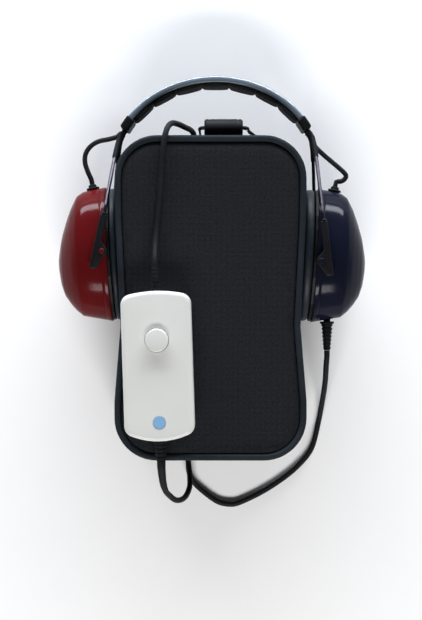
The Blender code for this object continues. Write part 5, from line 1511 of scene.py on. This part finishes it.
@dataclass
class EarCup:
    """One ear cup: shell, plate, driver, foam, cushion, grommet, and on the blue one the lead's relief."""

    colour: str
    side: int
    finish: Finish
    case: Case
    cable_depth: float
    cable_lean: float
    rim_x: float
    centre_y: float
    middle: float = 0.048
    half_height: float = 0.0572
    half_width: float = 0.042
    depth: float = 0.0440
    tilt: float = math.radians(3.25)
    wall: float = 0.0025
    inset: float = 0.0012
    plate_back: float = -0.0023
    cushion_wall: float = 0.014
    cushion_give: float = 0.0055
    cushion_steps: int = 26
    crease: float = 0.0004
    crease_scale: float = 160.0
    pivot_depth: float = 0.0032
    shares: tuple[Three, ...] = (
        (0.00, 1.00, 1.00), (0.43, 0.955, 0.925), (0.57, 0.89, 0.90), (0.69, 0.73, 0.82),
        (0.80, 0.53, 0.715), (0.90, 0.31, 0.59), (0.96, 0.11, 0.435), (0.99, -0.01, 0.25))
    rim_ease: float = 0.0005
    groove: float = 0.00025
    groove_from: float = 0.0047
    groove_to: float = 0.0053
    drum_depths: tuple[float, ...] = (
        0.0, 0.0006, 0.003, 0.0046, 0.0048, 0.0052, 0.0054, 0.008, 0.012, 0.016, 0.0200, 0.0222)
    dome_steps: int = 22
    dome_crowding: float = 1.6
    hollow_depths: tuple[float, ...] = (0.0, 0.008, 0.016, 0.022, 0.028, 0.034, 0.0385)
    foam_from: float = 0.014
    foam_to: float = 0.0380
    foam_well: float = 0.010
    tail: float = 0.0032
    neck: float = 0.0030
    grommet_flange: float = 0.0055
    grommet_collar: float = 0.0034
    grommet_height: float = 0.0042
    relief_depth: float = 0.0143
    relief_seat_depth: float = 0.0083
    relief_length: float = 0.0245
    relief_flange: float = 0.0060

    def point(self, depth: float, along: float, height: float) -> Vector:
        """Give a world point: depth out from the rim, along the rim line upwards, height."""
        cosine, sine = math.cos(self.tilt), math.sin(self.tilt)
        x = self.rim_x + depth * cosine + along * sine
        y = self.centre_y + along * cosine - depth * sine
        return Vector((self.side * x, y, self.middle + height))

    def way(self, depth: float, along: float) -> Vector:
        """Give a world direction from the cup's outward and upward shares."""
        return (self.point(depth, along, 0.0) - self.point(0.0, 0.0, 0.0)).normalized()

    def pivot(self, pivot_y: float) -> Vector:
        """Give the place of the pins."""
        return self.point(self.pivot_depth, (pivot_y - self.centre_y) / math.cos(self.tilt), 0.0).xy

    def reach(self, depth: float) -> Two:
        """Read the reach above and below the middle at a depth."""
        share = max(0.0, depth / self.depth)
        for (start, top, bottom), (end, next_top, next_bottom) in zip(self.shares, self.shares[1:]):
            if share <= end:
                mix = (share - start) / (end - start)
                return (self.half_height * (top + (next_top - top) * mix),
                        self.half_height * (bottom + (next_bottom - bottom) * mix))
        _, top, bottom = self.shares[-1]
        return self.half_height * top, self.half_height * bottom

    def oval(self, depth: float, inset: float, steps: int = 80) -> Line:
        """Give an oval ring at a depth, drawn in by an inset."""
        top, bottom = self.reach(depth)
        centre, tall = (top - bottom) / 2, (top + bottom) / 2
        wide = tall * self.half_width / self.half_height
        turns = [math.tau * index / steps for index in range(steps)]
        return [self.point(depth, centre + (tall - inset) * math.cos(turn), (wide - inset) * math.sin(turn))
                for turn in turns]

    def build(self) -> Tip:
        """Make every piece of the cup, and give its grommet's tip."""
        self._shell()
        self._cushion()
        self._foam()
        for node, finish in (("cup_plate", Finishes.BLACK), ("driver", Finishes.STEEL)):
            Workshop.keep(f"{self.colour}_{node}", finish)
        return self._grommet()

    def _shell(self) -> None:
        """Make the shell: a drum with a fine groove, a dome, and the hollow behind them."""
        drum, dome_end = self.drum_depths[-1], self.shares[-1][0] * self.depth
        shares = [index / self.dome_steps for index in range(1, self.dome_steps + 1)]
        dome = [drum + (dome_end - drum) * (1 - (1 - share) ** self.dome_crowding) for share in shares]
        rings = []
        for depth in (*self.drum_depths, *dome):
            inset = self.groove if self.groove_from < depth < self.groove_to else 0.0
            rings.append(self.oval(depth, self.rim_ease if depth == 0.0 else inset))
        rings.reverse()
        rings += [self.oval(depth, self.wall) for depth in self.hollow_depths]
        Workshop.piece(f"{self.colour}_cup_shell", Form.skin(rings), self.finish, f"{self.colour}_cup", 50.0)

    def _cushion(self) -> None:
        """Make the soft ring between the plate and the case, creased where it is pressed."""
        start = self.plate_back - TOUCH
        base = self.oval(start, self.inset, 120)
        inner = self.oval(start, self.inset + self.cushion_wall, 120)
        rings = []
        for index in range(self.cushion_steps):
            turn = math.tau * index / self.cushion_steps
            share = 0.5 - 0.5 * math.copysign(abs(math.cos(turn)) ** 0.7, math.cos(turn))
            across = 0.5 - 0.5 * math.copysign(abs(math.sin(turn)) ** 0.6, math.sin(turn))
            ring = []
            for outer_point, inner_point in zip(base, inner):
                place = outer_point.lerp(inner_point, across)
                wall = self.side * (self.case.half_width(place.y) + TOUCH)
                fold = abs(self.crease * Form.waves(place, self.crease_scale, self.side))
                inward = (inner_point - outer_point).normalized() * fold * (1 - abs(2 * share - 1))
                ring.append(Vector((place.x + (wall - place.x) * share, place.y, place.z)) + inward)
            rings.append(ring)
        cushion = Form.skin(rings, joined=True)
        piece = Workshop.piece(f"{self.colour}_ear_cushion", cushion, Finishes.LEATHER, "", 70.0)
        tuple(self.point(start - self.cushion_give, 0.0, 0.0))
        tuple(self.point(start, 0.0, 0.0))
        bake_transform(piece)

    def _foam(self) -> None:
        """Line the hollow with foam, with a well towards the driver."""
        margin = self.wall + TOUCH + self.wall / 2
        start, last, well = self.foam_from, self.foam_to, self.foam_well
        rings = [self.oval(depth, margin, 48) for depth in (last, (start + last) / 2, start)]
        rings += [self.oval(depth, margin + well, 48) for depth in (start, start + well)]
        body = f"{self.colour}_cup"
        piece = Workshop.piece(f"{self.colour}_foam_liner", Form.skin(rings), Finishes.FOAM, body)

    def _grommet(self) -> Tip:
        """Make the cable grommet on top of the cup, and give its tip."""
        top, _ = self.reach(self.cable_depth)
        up = self.way(math.sin(self.cable_lean), math.cos(self.cable_lean))
        seat = self.point(self.cable_depth, top, 0.0) + up * TOUCH
        neck, tail, height = self.neck, self.tail, self.grommet_height
        flange, collar, lip = self.grommet_flange, self.grommet_collar, height * 0.4
        profile = ((0.0, -tail), (neck, -tail), (neck, 0.0), (flange * 0.94, 0.0), (flange, 0.0003),
                   (flange, lip - 0.0005), (flange * 0.93, lip), (collar * 1.15, lip), (collar, lip + 0.0004),
                   (collar, height - 0.0006), (collar * 0.85, height), (0.0, height))
        made = Form.turned(profile, seat, up, 36)
        Workshop.piece(f"{self.colour}_cable_grommet", made, Finishes.RUBBER, f"{self.colour}_cup")
        return seat + up * height, up

    def relief(self) -> Tip:
        """Make the ribbed relief under the cup, and give its tip."""
        _, bottom = self.reach(self.relief_seat_depth)
        seat = self.point(self.relief_depth, -bottom - TOUCH, 0.0)
        down = Vector((0.0, -1.0, 0.0))
        neck, tail, flange = self.neck, self.tail, self.relief_flange
        profile = [(0.0, -tail), (neck, -tail), (neck, 0.0), (flange - 0.0003, 0.0), (flange, 0.0004),
                   (flange, 0.0016), (flange - 0.0004, 0.0020)]
        profile += Ribs(0.0020, self.relief_length, 0.0048, 0.0032, 7).profile()
        made = Form.turned(profile, seat, down, 36)
        Workshop.piece("lead_strain_relief", made, Finishes.RUBBER, f"{self.colour}_cup")
        return seat + down * self.relief_length, down


@dataclass(frozen=True)
class Ribs:
    """A tapering row of ribs on a strain relief."""

    start: float
    end: float
    first: float
    last: float
    count: int
    waist: float = 0.84
    land: float = 0.66
    ease: float = 0.06

    def profile(self) -> Section:
        """Give radius and height pairs that end on the axis."""
        points = []
        pitch = (self.end - self.start) / self.count
        ease = pitch * self.ease
        for index in range(self.count):
            radius = self.first + (self.last - self.first) * index / max(1, self.count - 1)
            low = self.start + pitch * index
            high = low + pitch * self.land
            points += [(radius * self.waist, low), (radius - ease, low), (radius, low + ease),
                       (radius, high - ease), (radius - ease, high), (radius * self.waist, high)]
        return points + [(self.last * self.waist, self.end), (0.0, self.end)]


# The handset


@dataclass
class Handset:
    """The white handset with its response button, its plain disc and its ribbed reliefs."""

    centre: Two = (-0.0425, -0.0552)
    turn: float = math.radians(1.85)
    width: float = 0.0568
    length: float = 0.1212
    base: float = 0.0953
    height: float = 0.024
    corner: float = 0.0088
    corner_share: float = 0.8
    top_bow: float = 0.0021
    bottom_bow: float = 0.0040
    edge: float = 0.0034
    wall: float = 0.0020
    split: float = 0.010
    button_offset: float = 0.0209
    button_diameter: float = 0.0190
    button_proud: float = 0.0048
    disc_offset: float = -0.0452
    disc_diameter: float = 0.0100
    disc_sunk: float = 0.0006
    disc_rise: float = 0.0006
    button_play: float = 0.0004
    button_flange: float = 0.0016
    button_stem: float = 0.0030
    button_stem_length: float = 0.0085
    button_edge: float = 0.0016
    button_crown: float = 0.0003
    cut_over: float = 0.002
    bow_shares: tuple[float, ...] = (0.85, 0.7, 0.5, 0.25, 0.0, -0.25, -0.5, -0.7, -0.85)
    seam_lip: float = 0.0003
    top_ribs: tuple[float, float, float, int] = (0.020, 0.0036, 0.00288, 6)
    bottom_ribs: tuple[float, float, float, int] = (0.0165, 0.0052, 0.00432, 5)

    @property
    def top(self) -> float:
        """Give the height of the handset's face."""
        return self.base + self.height

    def place(self, across: float, along: float, height: float) -> Vector:
        """Give a world point from the handset's own."""
        cosine, sine = math.cos(self.turn), math.sin(self.turn)
        return Vector((self.centre[0] + across * cosine - along * sine,
                       self.centre[1] + across * sine + along * cosine, height))

    def _bowed_end(self, half_width: float, reach: float, corner: float, bow: float) -> Line:
        """Give one end of the outline, from its right side to its left, bowed outwards."""
        inner = half_width - corner
        lean = math.atan(2 * bow / inner)
        half_span = inner + corner * math.sin(lean)
        rise = half_span * math.tan(lean) / 2
        corner_y = reach - rise - corner * math.cos(lean)
        right = Form.arc((inner, corner_y), corner, 0.0, QUARTER - lean, 12)
        middle = [Vector((half_span * share, reach - rise * share * share)) for share in self.bow_shares]
        return right + middle + [Vector((-point.x, point.y)) for point in reversed(right)]

    def _ring(self, inset: float, height: float) -> Line:
        """Give a level ring drawn in by an inset."""
        half_width = self.width / 2 - inset
        reach = self.length / 2 - inset
        corner = self.corner - inset * self.corner_share
        top = self._bowed_end(half_width, reach, corner, self.top_bow)
        bottom = [-point for point in self._bowed_end(half_width, reach, corner, self.bottom_bow)]
        return [self.place(point.x, point.y, height) for point in top + bottom]

    @staticmethod
    def _levels(face: float, toward: int, radius: float, steps: int) -> Section:
        """Give inset and height pairs round an edge, from the face to the side."""
        return [(inset, face - toward * drop) for inset, drop in Form.eased(radius, steps)]

    def _cylinder(self, radius: float, along: float, low: float) -> BMesh:
        """Give an upright cutter on the handset's middle line, from a height to over the face."""
        profile = Form.rod(radius, 0.0, self.top + self.cut_over - low)
        return Form.turned(profile, self.place(0.0, along, low), UP, 64)

    def _half(self, face: float, toward: int, seam: float) -> BMesh:
        """Give one half of the shell, rounded outside and hollow inside."""
        lip = self.seam_lip
        rings = [self._ring(inset, height) for inset, height in self._levels(face, toward, self.edge, 9)]
        rings += [self._ring(0.0, seam + toward * lip), self._ring(lip, seam), self._ring(self.wall, seam)]
        inner = self._levels(face - toward * self.wall, toward, self.edge - self.wall, 3)
        rings += [self._ring(self.wall + inset, height) for inset, height in reversed(inner)]
        return Form.skin(rings)

    def build(self) -> tuple[Tip, Tip]:
        """Make every piece, and give the tips of both reliefs, top and bottom."""
        seam = self.base + self.split
        front = self._half(self.top, 1, seam + TOUCH / 2)
        hole = self._cylinder(self.button_diameter / 2 + self.button_play, self.button_offset, seam)
        pocket = self._cylinder(self.disc_diameter / 2 + TOUCH, self.disc_offset, self.top - self.disc_sunk)
        mesh = Workshop.carved("handset_front_shell", front, [hole, pocket])
        Workshop.dress("handset_front_shell", mesh, Finishes.WHITE, "kit")
        back = self._half(self.base, -1, seam - TOUCH / 2)
        Workshop.piece("handset_back_shell", back, Finishes.WHITE, "kit")
        self._disc()
        self._button()
        for node, finish in (("circuit_board", Finishes.BOARD), ("tact_switch", Finishes.BLACK),
                             ("handset_screw_1", Finishes.STEEL), ("handset_screw_2", Finishes.STEEL)):
            Workshop.keep(node, finish)
        return self._relief("top", 1, *self.top_ribs), self._relief("bottom", -1, *self.bottom_ribs)

    def _disc(self) -> None:
        """Set the plain disc in its pocket."""
        radius, rise = self.disc_diameter / 2, self.disc_rise
        seat = self.place(0.0, self.disc_offset, self.top - TOUCH)
        profile = ((0.0, 0.0), (radius, 0.0), (radius, rise - 0.0002), (radius - 0.0002, rise), (0.0, rise))
        Workshop.piece("blue_disc", Form.turned(profile, seat, UP, 64), Finishes.DISC, "kit")

    def _button(self) -> None:
        """Make the response button: a rounded cap on a flange and a stem."""
        radius = self.button_diameter / 2
        under = self.top - self.wall - TOUCH
        cap = self.top + self.button_proud - under
        flange, stem = self.button_flange, self.button_stem
        profile = [(0.0, -self.button_stem_length), (stem, -self.button_stem_length), (stem, -flange),
                   (radius + flange, -flange), (radius + flange, 0.0), (radius, 0.0)]
        for low, side in Form.eased(self.button_edge, 8):
            profile.append((radius - side, cap - self.button_crown - low))
        profile += [(radius * 0.6, cap - self.button_crown / 3), (radius * 0.3, cap), (0.0, cap)]
        made = Form.turned(profile, self.place(0.0, self.button_offset, under), UP, 72)
        Workshop.piece("response_button", made, Finishes.WHITE, "button")

    def _relief(self, place: str, end: int, length: float, first: float, last: float, count: int) -> Tip:
        """Make the ribbed relief at one end, and give its tip."""
        along = (self.place(0.0, 1.0, 0.0) - self.place(0.0, 0.0, 0.0)).normalized() * end
        seat = self.place(0.0, end * (self.length / 2 + TOUCH), self.base + self.height / 2)
        profile = [(0.0, 0.0)] + Ribs(0.0, length, first, last, count).profile()
        made = Form.turned(profile, seat, along, 36)
        Workshop.piece(f"handset_{place}_relief", made, Finishes.RUBBER, "kit")
        return seat + along * length, along


# Leads


@dataclass
class Coil:
    """A lead wound flat on the case's floor, in two layers."""

    centre: Two
    direction: int
    turns: float = 8.5
    start: float = math.pi
    radius: float = 0.0262
    pitch: float = 0.00535
    base: float = 0.0057
    straight: float = 0.0048
    points_a_turn: int = 40

    def line(self) -> Line:
        """Give the coil's line, straight for a little at both ends."""
        half = self.turns / 2
        middle_out = self.radius + self.pitch * half / 2
        points = []
        count = round(self.turns * self.points_a_turn)
        for index in range(count + 1):
            turn = self.turns * index / count
            radius = middle_out - self.pitch * (half - abs(turn - half))
            climb = min(1.0, max(0.0, (turn - half) * 2 + 0.5))
            angle = self.start + self.direction * math.tau * turn
            points.append(Vector((self.centre[0] + radius * math.cos(angle),
                                  self.centre[1] + radius * math.sin(angle),
                                  self.base + self.pitch * climb * climb * (3 - 2 * climb))))
        return Curve.with_straight_ends(points, self.straight)


@dataclass
class Leads:
    """The headset lead, the link cords and the USB lead with its plug."""

    diameter: float = 0.0048
    link_diameter: float = 0.0042
    boot_radius: float = 0.0036
    boot_length: float = 0.036
    step: float = 0.003
    boot_step: float = 0.0015
    link_step: float = 0.0015
    cup_part_until: float = -0.0750
    slack_until: float = -0.1700
    tail_reach: float = 0.012
    floor: float = 0.003
    plug_body: Three = (0.0155, 0.030, 0.008)
    plug_body_ease: float = 0.0016
    plug_shell: Three = (0.012, 0.0119, 0.0045)
    plug_shell_wall: float = 0.0004
    plug_shell_back: float = 0.0006
    tongue_thickness: float = 0.0018
    tongue_share: float = 0.85
    tongue_ease: float = 0.0002
    headset_coil: Coil = field(default_factory=lambda: Coil((-0.008, -0.056), -1))
    usb_coil: Coil = field(default_factory=lambda: Coil((-0.002, 0.042), 1))
    headset_route: tuple[Three, ...] = (
        (0.0992, -0.0590, 0.0440), (0.0994, -0.0710, 0.0335), (0.0989, -0.0845, 0.0190),
        (0.0978, -0.0970, 0.0075), (0.0961, -0.1078, 0.0030), (0.0898, -0.1327, 0.0027),
        (0.0773, -0.1487, 0.0027), (0.0622, -0.1611, 0.0027), (0.0436, -0.1727, 0.0027),
        (0.0249, -0.1814, 0.0027), (0.0164, -0.1826, 0.0027), (0.0062, -0.1802, 0.0027),
        (-0.0062, -0.1714, 0.0027), (-0.0148, -0.1630, 0.0032), (-0.0190, -0.1535, 0.0075),
        (-0.0195, -0.1440, 0.0155), (-0.0195, -0.1335, 0.0195), (-0.0195, -0.1210, 0.0190),
        (-0.0250, -0.1040, 0.0140), (-0.0385, -0.0850, 0.0075))
    loop_route: tuple[Three, ...] = (
        (-0.0388, -0.1500, 0.1015), (-0.0368, -0.1590, 0.0915), (-0.0335, -0.1645, 0.0815),
        (-0.0290, -0.1690, 0.0730), (-0.0245, -0.1700, 0.0630), (-0.0208, -0.1680, 0.0530),
        (-0.0180, -0.1620, 0.0430), (-0.0180, -0.1530, 0.0340), (-0.0192, -0.1440, 0.0285),
        (-0.0195, -0.1335, 0.0270), (-0.0185, -0.1220, 0.0262), (-0.0080, -0.1060, 0.0210),
        (0.0150, -0.0900, 0.0135))
    usb_route: tuple[Three, ...] = (
        (-0.0450, 0.0450, 0.1008), (-0.0436, 0.0600, 0.0977), (-0.0412, 0.0850, 0.0977),
        (-0.0399, 0.1080, 0.0980), (-0.0385, 0.1240, 0.0988), (-0.0362, 0.1370, 0.0970),
        (-0.0325, 0.1440, 0.0880), (-0.0275, 0.1455, 0.0740), (-0.0215, 0.1450, 0.0570),
        (-0.0165, 0.1445, 0.0400), (-0.0141, 0.1410, 0.0282), (-0.0140, 0.1340, 0.0250),
        (-0.0140, 0.1240, 0.0246), (-0.0220, 0.1040, 0.0180), (-0.0345, 0.0760, 0.0085))
    red_link: tuple[Two, ...] = (
        (0.0008, 0.0078), (0.0046, 0.0042), (0.0118, 0.0022), (0.0200, 0.0005), (0.0270, -0.0035),
        (0.0315, -0.0100), (0.0322, -0.0175), (0.0298, -0.0255))
    blue_link: tuple[Two, ...] = (
        (0.0086, 0.0078), (0.0108, 0.0018), (0.0142, -0.0040), (0.0203, -0.0100), (0.0277, -0.0164),
        (0.0345, -0.0222), (0.0390, -0.0264), (0.0408, -0.0296), (0.0376, -0.0334))

    def build(self, cup_end: Tip, handset_ends: tuple[Tip, Tip]) -> None:
        """Make both leads, from the tips of the blue cup's relief and of the handset's, top and bottom."""
        self._headset_lead(cup_end, handset_ends[1])
        self._usb_lead(handset_ends[0])

    @staticmethod
    def _coil_ends(line: Line) -> tuple[Tip, Tip]:
        """Give both tips of a coil."""
        return ((line[0], (line[0] - line[1]).normalized()), (line[-1], (line[-1] - line[-2]).normalized()))

    @staticmethod
    def _cord(name: str, line: Line, diameter: float, body: str,
              replaces: tuple[str, ...] | None = None) -> bpy.types.Object:
        """Make one cord piece along a line."""
        mesh = Form.tube(name, line, diameter / 2, 4)
        return Workshop.dress(name, mesh, Finishes.RUBBER, body, 60.0, replaces)

    def _headset_lead(self, cup_end: Tip, handset_end: Tip) -> None:
        """Make the lead from the blue cup to its coil and on to the handset, in three pieces and a boot."""
        coil = self.headset_coil.line()
        near, far = self._coil_ends(coil)
        outer = Curve.between(cup_end, self.headset_route, near, self.step, self.diameter)
        inner = Curve.between(handset_end, self.loop_route, far, self.step, self.diameter)
        boot, rest = Curve.split(inner, self.boot_length)
        first_turn, second_turn = (next(index for index, point in enumerate(outer) if point.y < until)
                                   for until in (self.cup_part_until, self.slack_until))
        start, slack, end = outer[:first_turn + 1], outer[first_turn:second_turn + 1], outer[second_turn:]
        whole = end[:-1] + coil + list(reversed(rest))[1:]
        first = self._cord("headset_lead_cup_end", start, self.diameter, "")
        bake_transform(first)
        Curve.length(start)
        second = self._cord("headset_lead_slack", slack, self.diameter, "", ("headset_lead_outer",))
        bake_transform(second)
        Curve.length(slack)
        third = self._cord("headset_lead", whole, self.diameter, "kit",
                           ("headset_lead_coil", "headset_lead_inner"))
        fine = Curve.even(boot, self.boot_step)
        taper = (self.diameter / 2 - self.boot_radius) / (len(fine) - 1)
        radii = [self.boot_radius + taper * index for index in range(len(fine))]
        mesh = Form.tube("handset_lead_boot", fine, radii, 4)
        sleeve = Workshop.dress("handset_lead_boot", mesh, Finishes.RUBBER, "kit", 60.0)
        Curve.length(whole)

    def _usb_lead(self, handset_end: Tip) -> None:
        """Make the lead from the handset to its coil and on to the plug."""
        coil = self.usb_coil.line()
        near, far = self._coil_ends(coil)
        run = Curve.between(handset_end, self.usb_route, near, self.step, self.diameter)
        tip, away = far
        drop = self.floor + TOUCH + self.plug_body[2] / 2
        bend, seat = (tip + away * self.tail_reach * share for share in (1, 2))
        bend.z, seat.z = (tip.z + drop) / 2, drop
        back = Vector((0.0, -1.0, 0.0))
        tail = Curve.between(far, (bend,), (seat, back), self.step, self.diameter)
        whole = run[:-1] + coil + tail[1:]
        lead = self._cord("usb_lead", whole, self.diameter, "kit",
                          ("usb_lead", "usb_lead_coil", "usb_lead_end"))
        plug = self._plug(seat)
        Curve.length(whole)

    def _plug(self, seat: Vector) -> tuple[bpy.types.Object, bpy.types.Object]:
        """Make the plug's moulded body and its metal shell."""
        long = self.plug_body[1]
        centre = seat + Vector((0.0, long / 2, 0.0))
        body = Form.brick(Vector(self.plug_body), Matrix.Translation(centre), self.plug_body_ease, 4)
        grip = Workshop.piece("usb_plug_body", body, Finishes.RUBBER, "kit")
        wide, deep, tall = self.plug_shell
        middle = centre + Vector((0.0, long / 2 + TOUCH + deep / 2, 0.0))
        wall, back = self.plug_shell_wall, self.plug_shell_back
        shell = Form.brick(Vector(self.plug_shell), Matrix.Translation(middle), wall, 2)
        inside = Form.brick(Vector((wide - 2 * wall, deep, tall - 2 * wall)),
                            Matrix.Translation(middle + Vector((0.0, back, 0.0))))
        mesh = Workshop.carved("usb_plug_shell", shell, [inside])
        shield = Workshop.dress("usb_plug_shell", mesh, Finishes.STEEL, "kit")
        tongue = Form.brick(Vector((wide - 4 * wall, deep * self.tongue_share, self.tongue_thickness)),
                            Matrix.Translation(middle + Vector((0.0, -wall, tall / 5))), self.tongue_ease, 1)
        Workshop.piece("usb_plug_tongue", tongue, Finishes.WHITE, "kit")
        return grip, shield

    def link(self, colour: str, side: int, case: Case, seat: Tip, height: float) -> None:
        """Make the short cord from an end block to a cup's grommet, in two halves that meet halfway along it.
        """
        shares = self.red_link if colour == "red" else self.blue_link
        out = case.width / 2 - case.headset_inset
        route = [Vector((side * (out + across), case.length / 2 + rise, height)) for across, rise in shares]
        start = (route[0], (route[1] - route[0]).normalized())
        line = Curve.between(start, route[1:], seat, self.link_step, self.link_diameter)
        first, second = Curve.split(line, Curve.length(line) / 2)
        name = f"{colour}_link_cord"
        near = self._cord(f"{name}_band_half", first, self.link_diameter, "")
        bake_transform(near)
        far = self._cord(f"{name}_cup_half", second, self.link_diameter, "", (name,))
        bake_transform(far)
        for piece, half in ((near, first), (far, second)):
            Curve.length(half)


# Everything together


def main() -> None:
    """Build every class in turn and report."""
    logging.basicConfig(level=logging.INFO, format="%(message)s")
    Studio().build()
    case = Case()
    case.build()
    CarryHandle().build()
    leads = Leads()
    cups = (EarCup("red", -1, Finishes.RED, case, cable_depth=0.0112, cable_lean=math.radians(7.0),
                   rim_x=0.0860, centre_y=0.0377),
            EarCup("blue", 1, Finishes.BLUE, case, cable_depth=0.0142, cable_lean=math.radians(8.0),
                   rim_x=0.0884, centre_y=0.0365))
    arms = (Arm("red", -1, mouth=Vector((-0.0877, 0.0687)), foot=Vector((-0.0970, 0.0241)),
                pivot=cups[0].pivot(0.0385), finish=Finishes.RED),
            Arm("blue", 1, mouth=Vector((0.0930, 0.0633)), foot=Vector((0.0982, 0.0175)),
                pivot=cups[1].pivot(0.0304), finish=Finishes.BLUE))
    Headband().build(arms)
    for arm, cup in zip(arms, cups):
        arm.build()
        leads.link(cup.colour, cup.side, case, cup.build(), cup.middle)
    handset_ends = Handset().build()
    leads.build(cups[1].relief(), handset_ends)


if __name__ == "__main__":
    main()
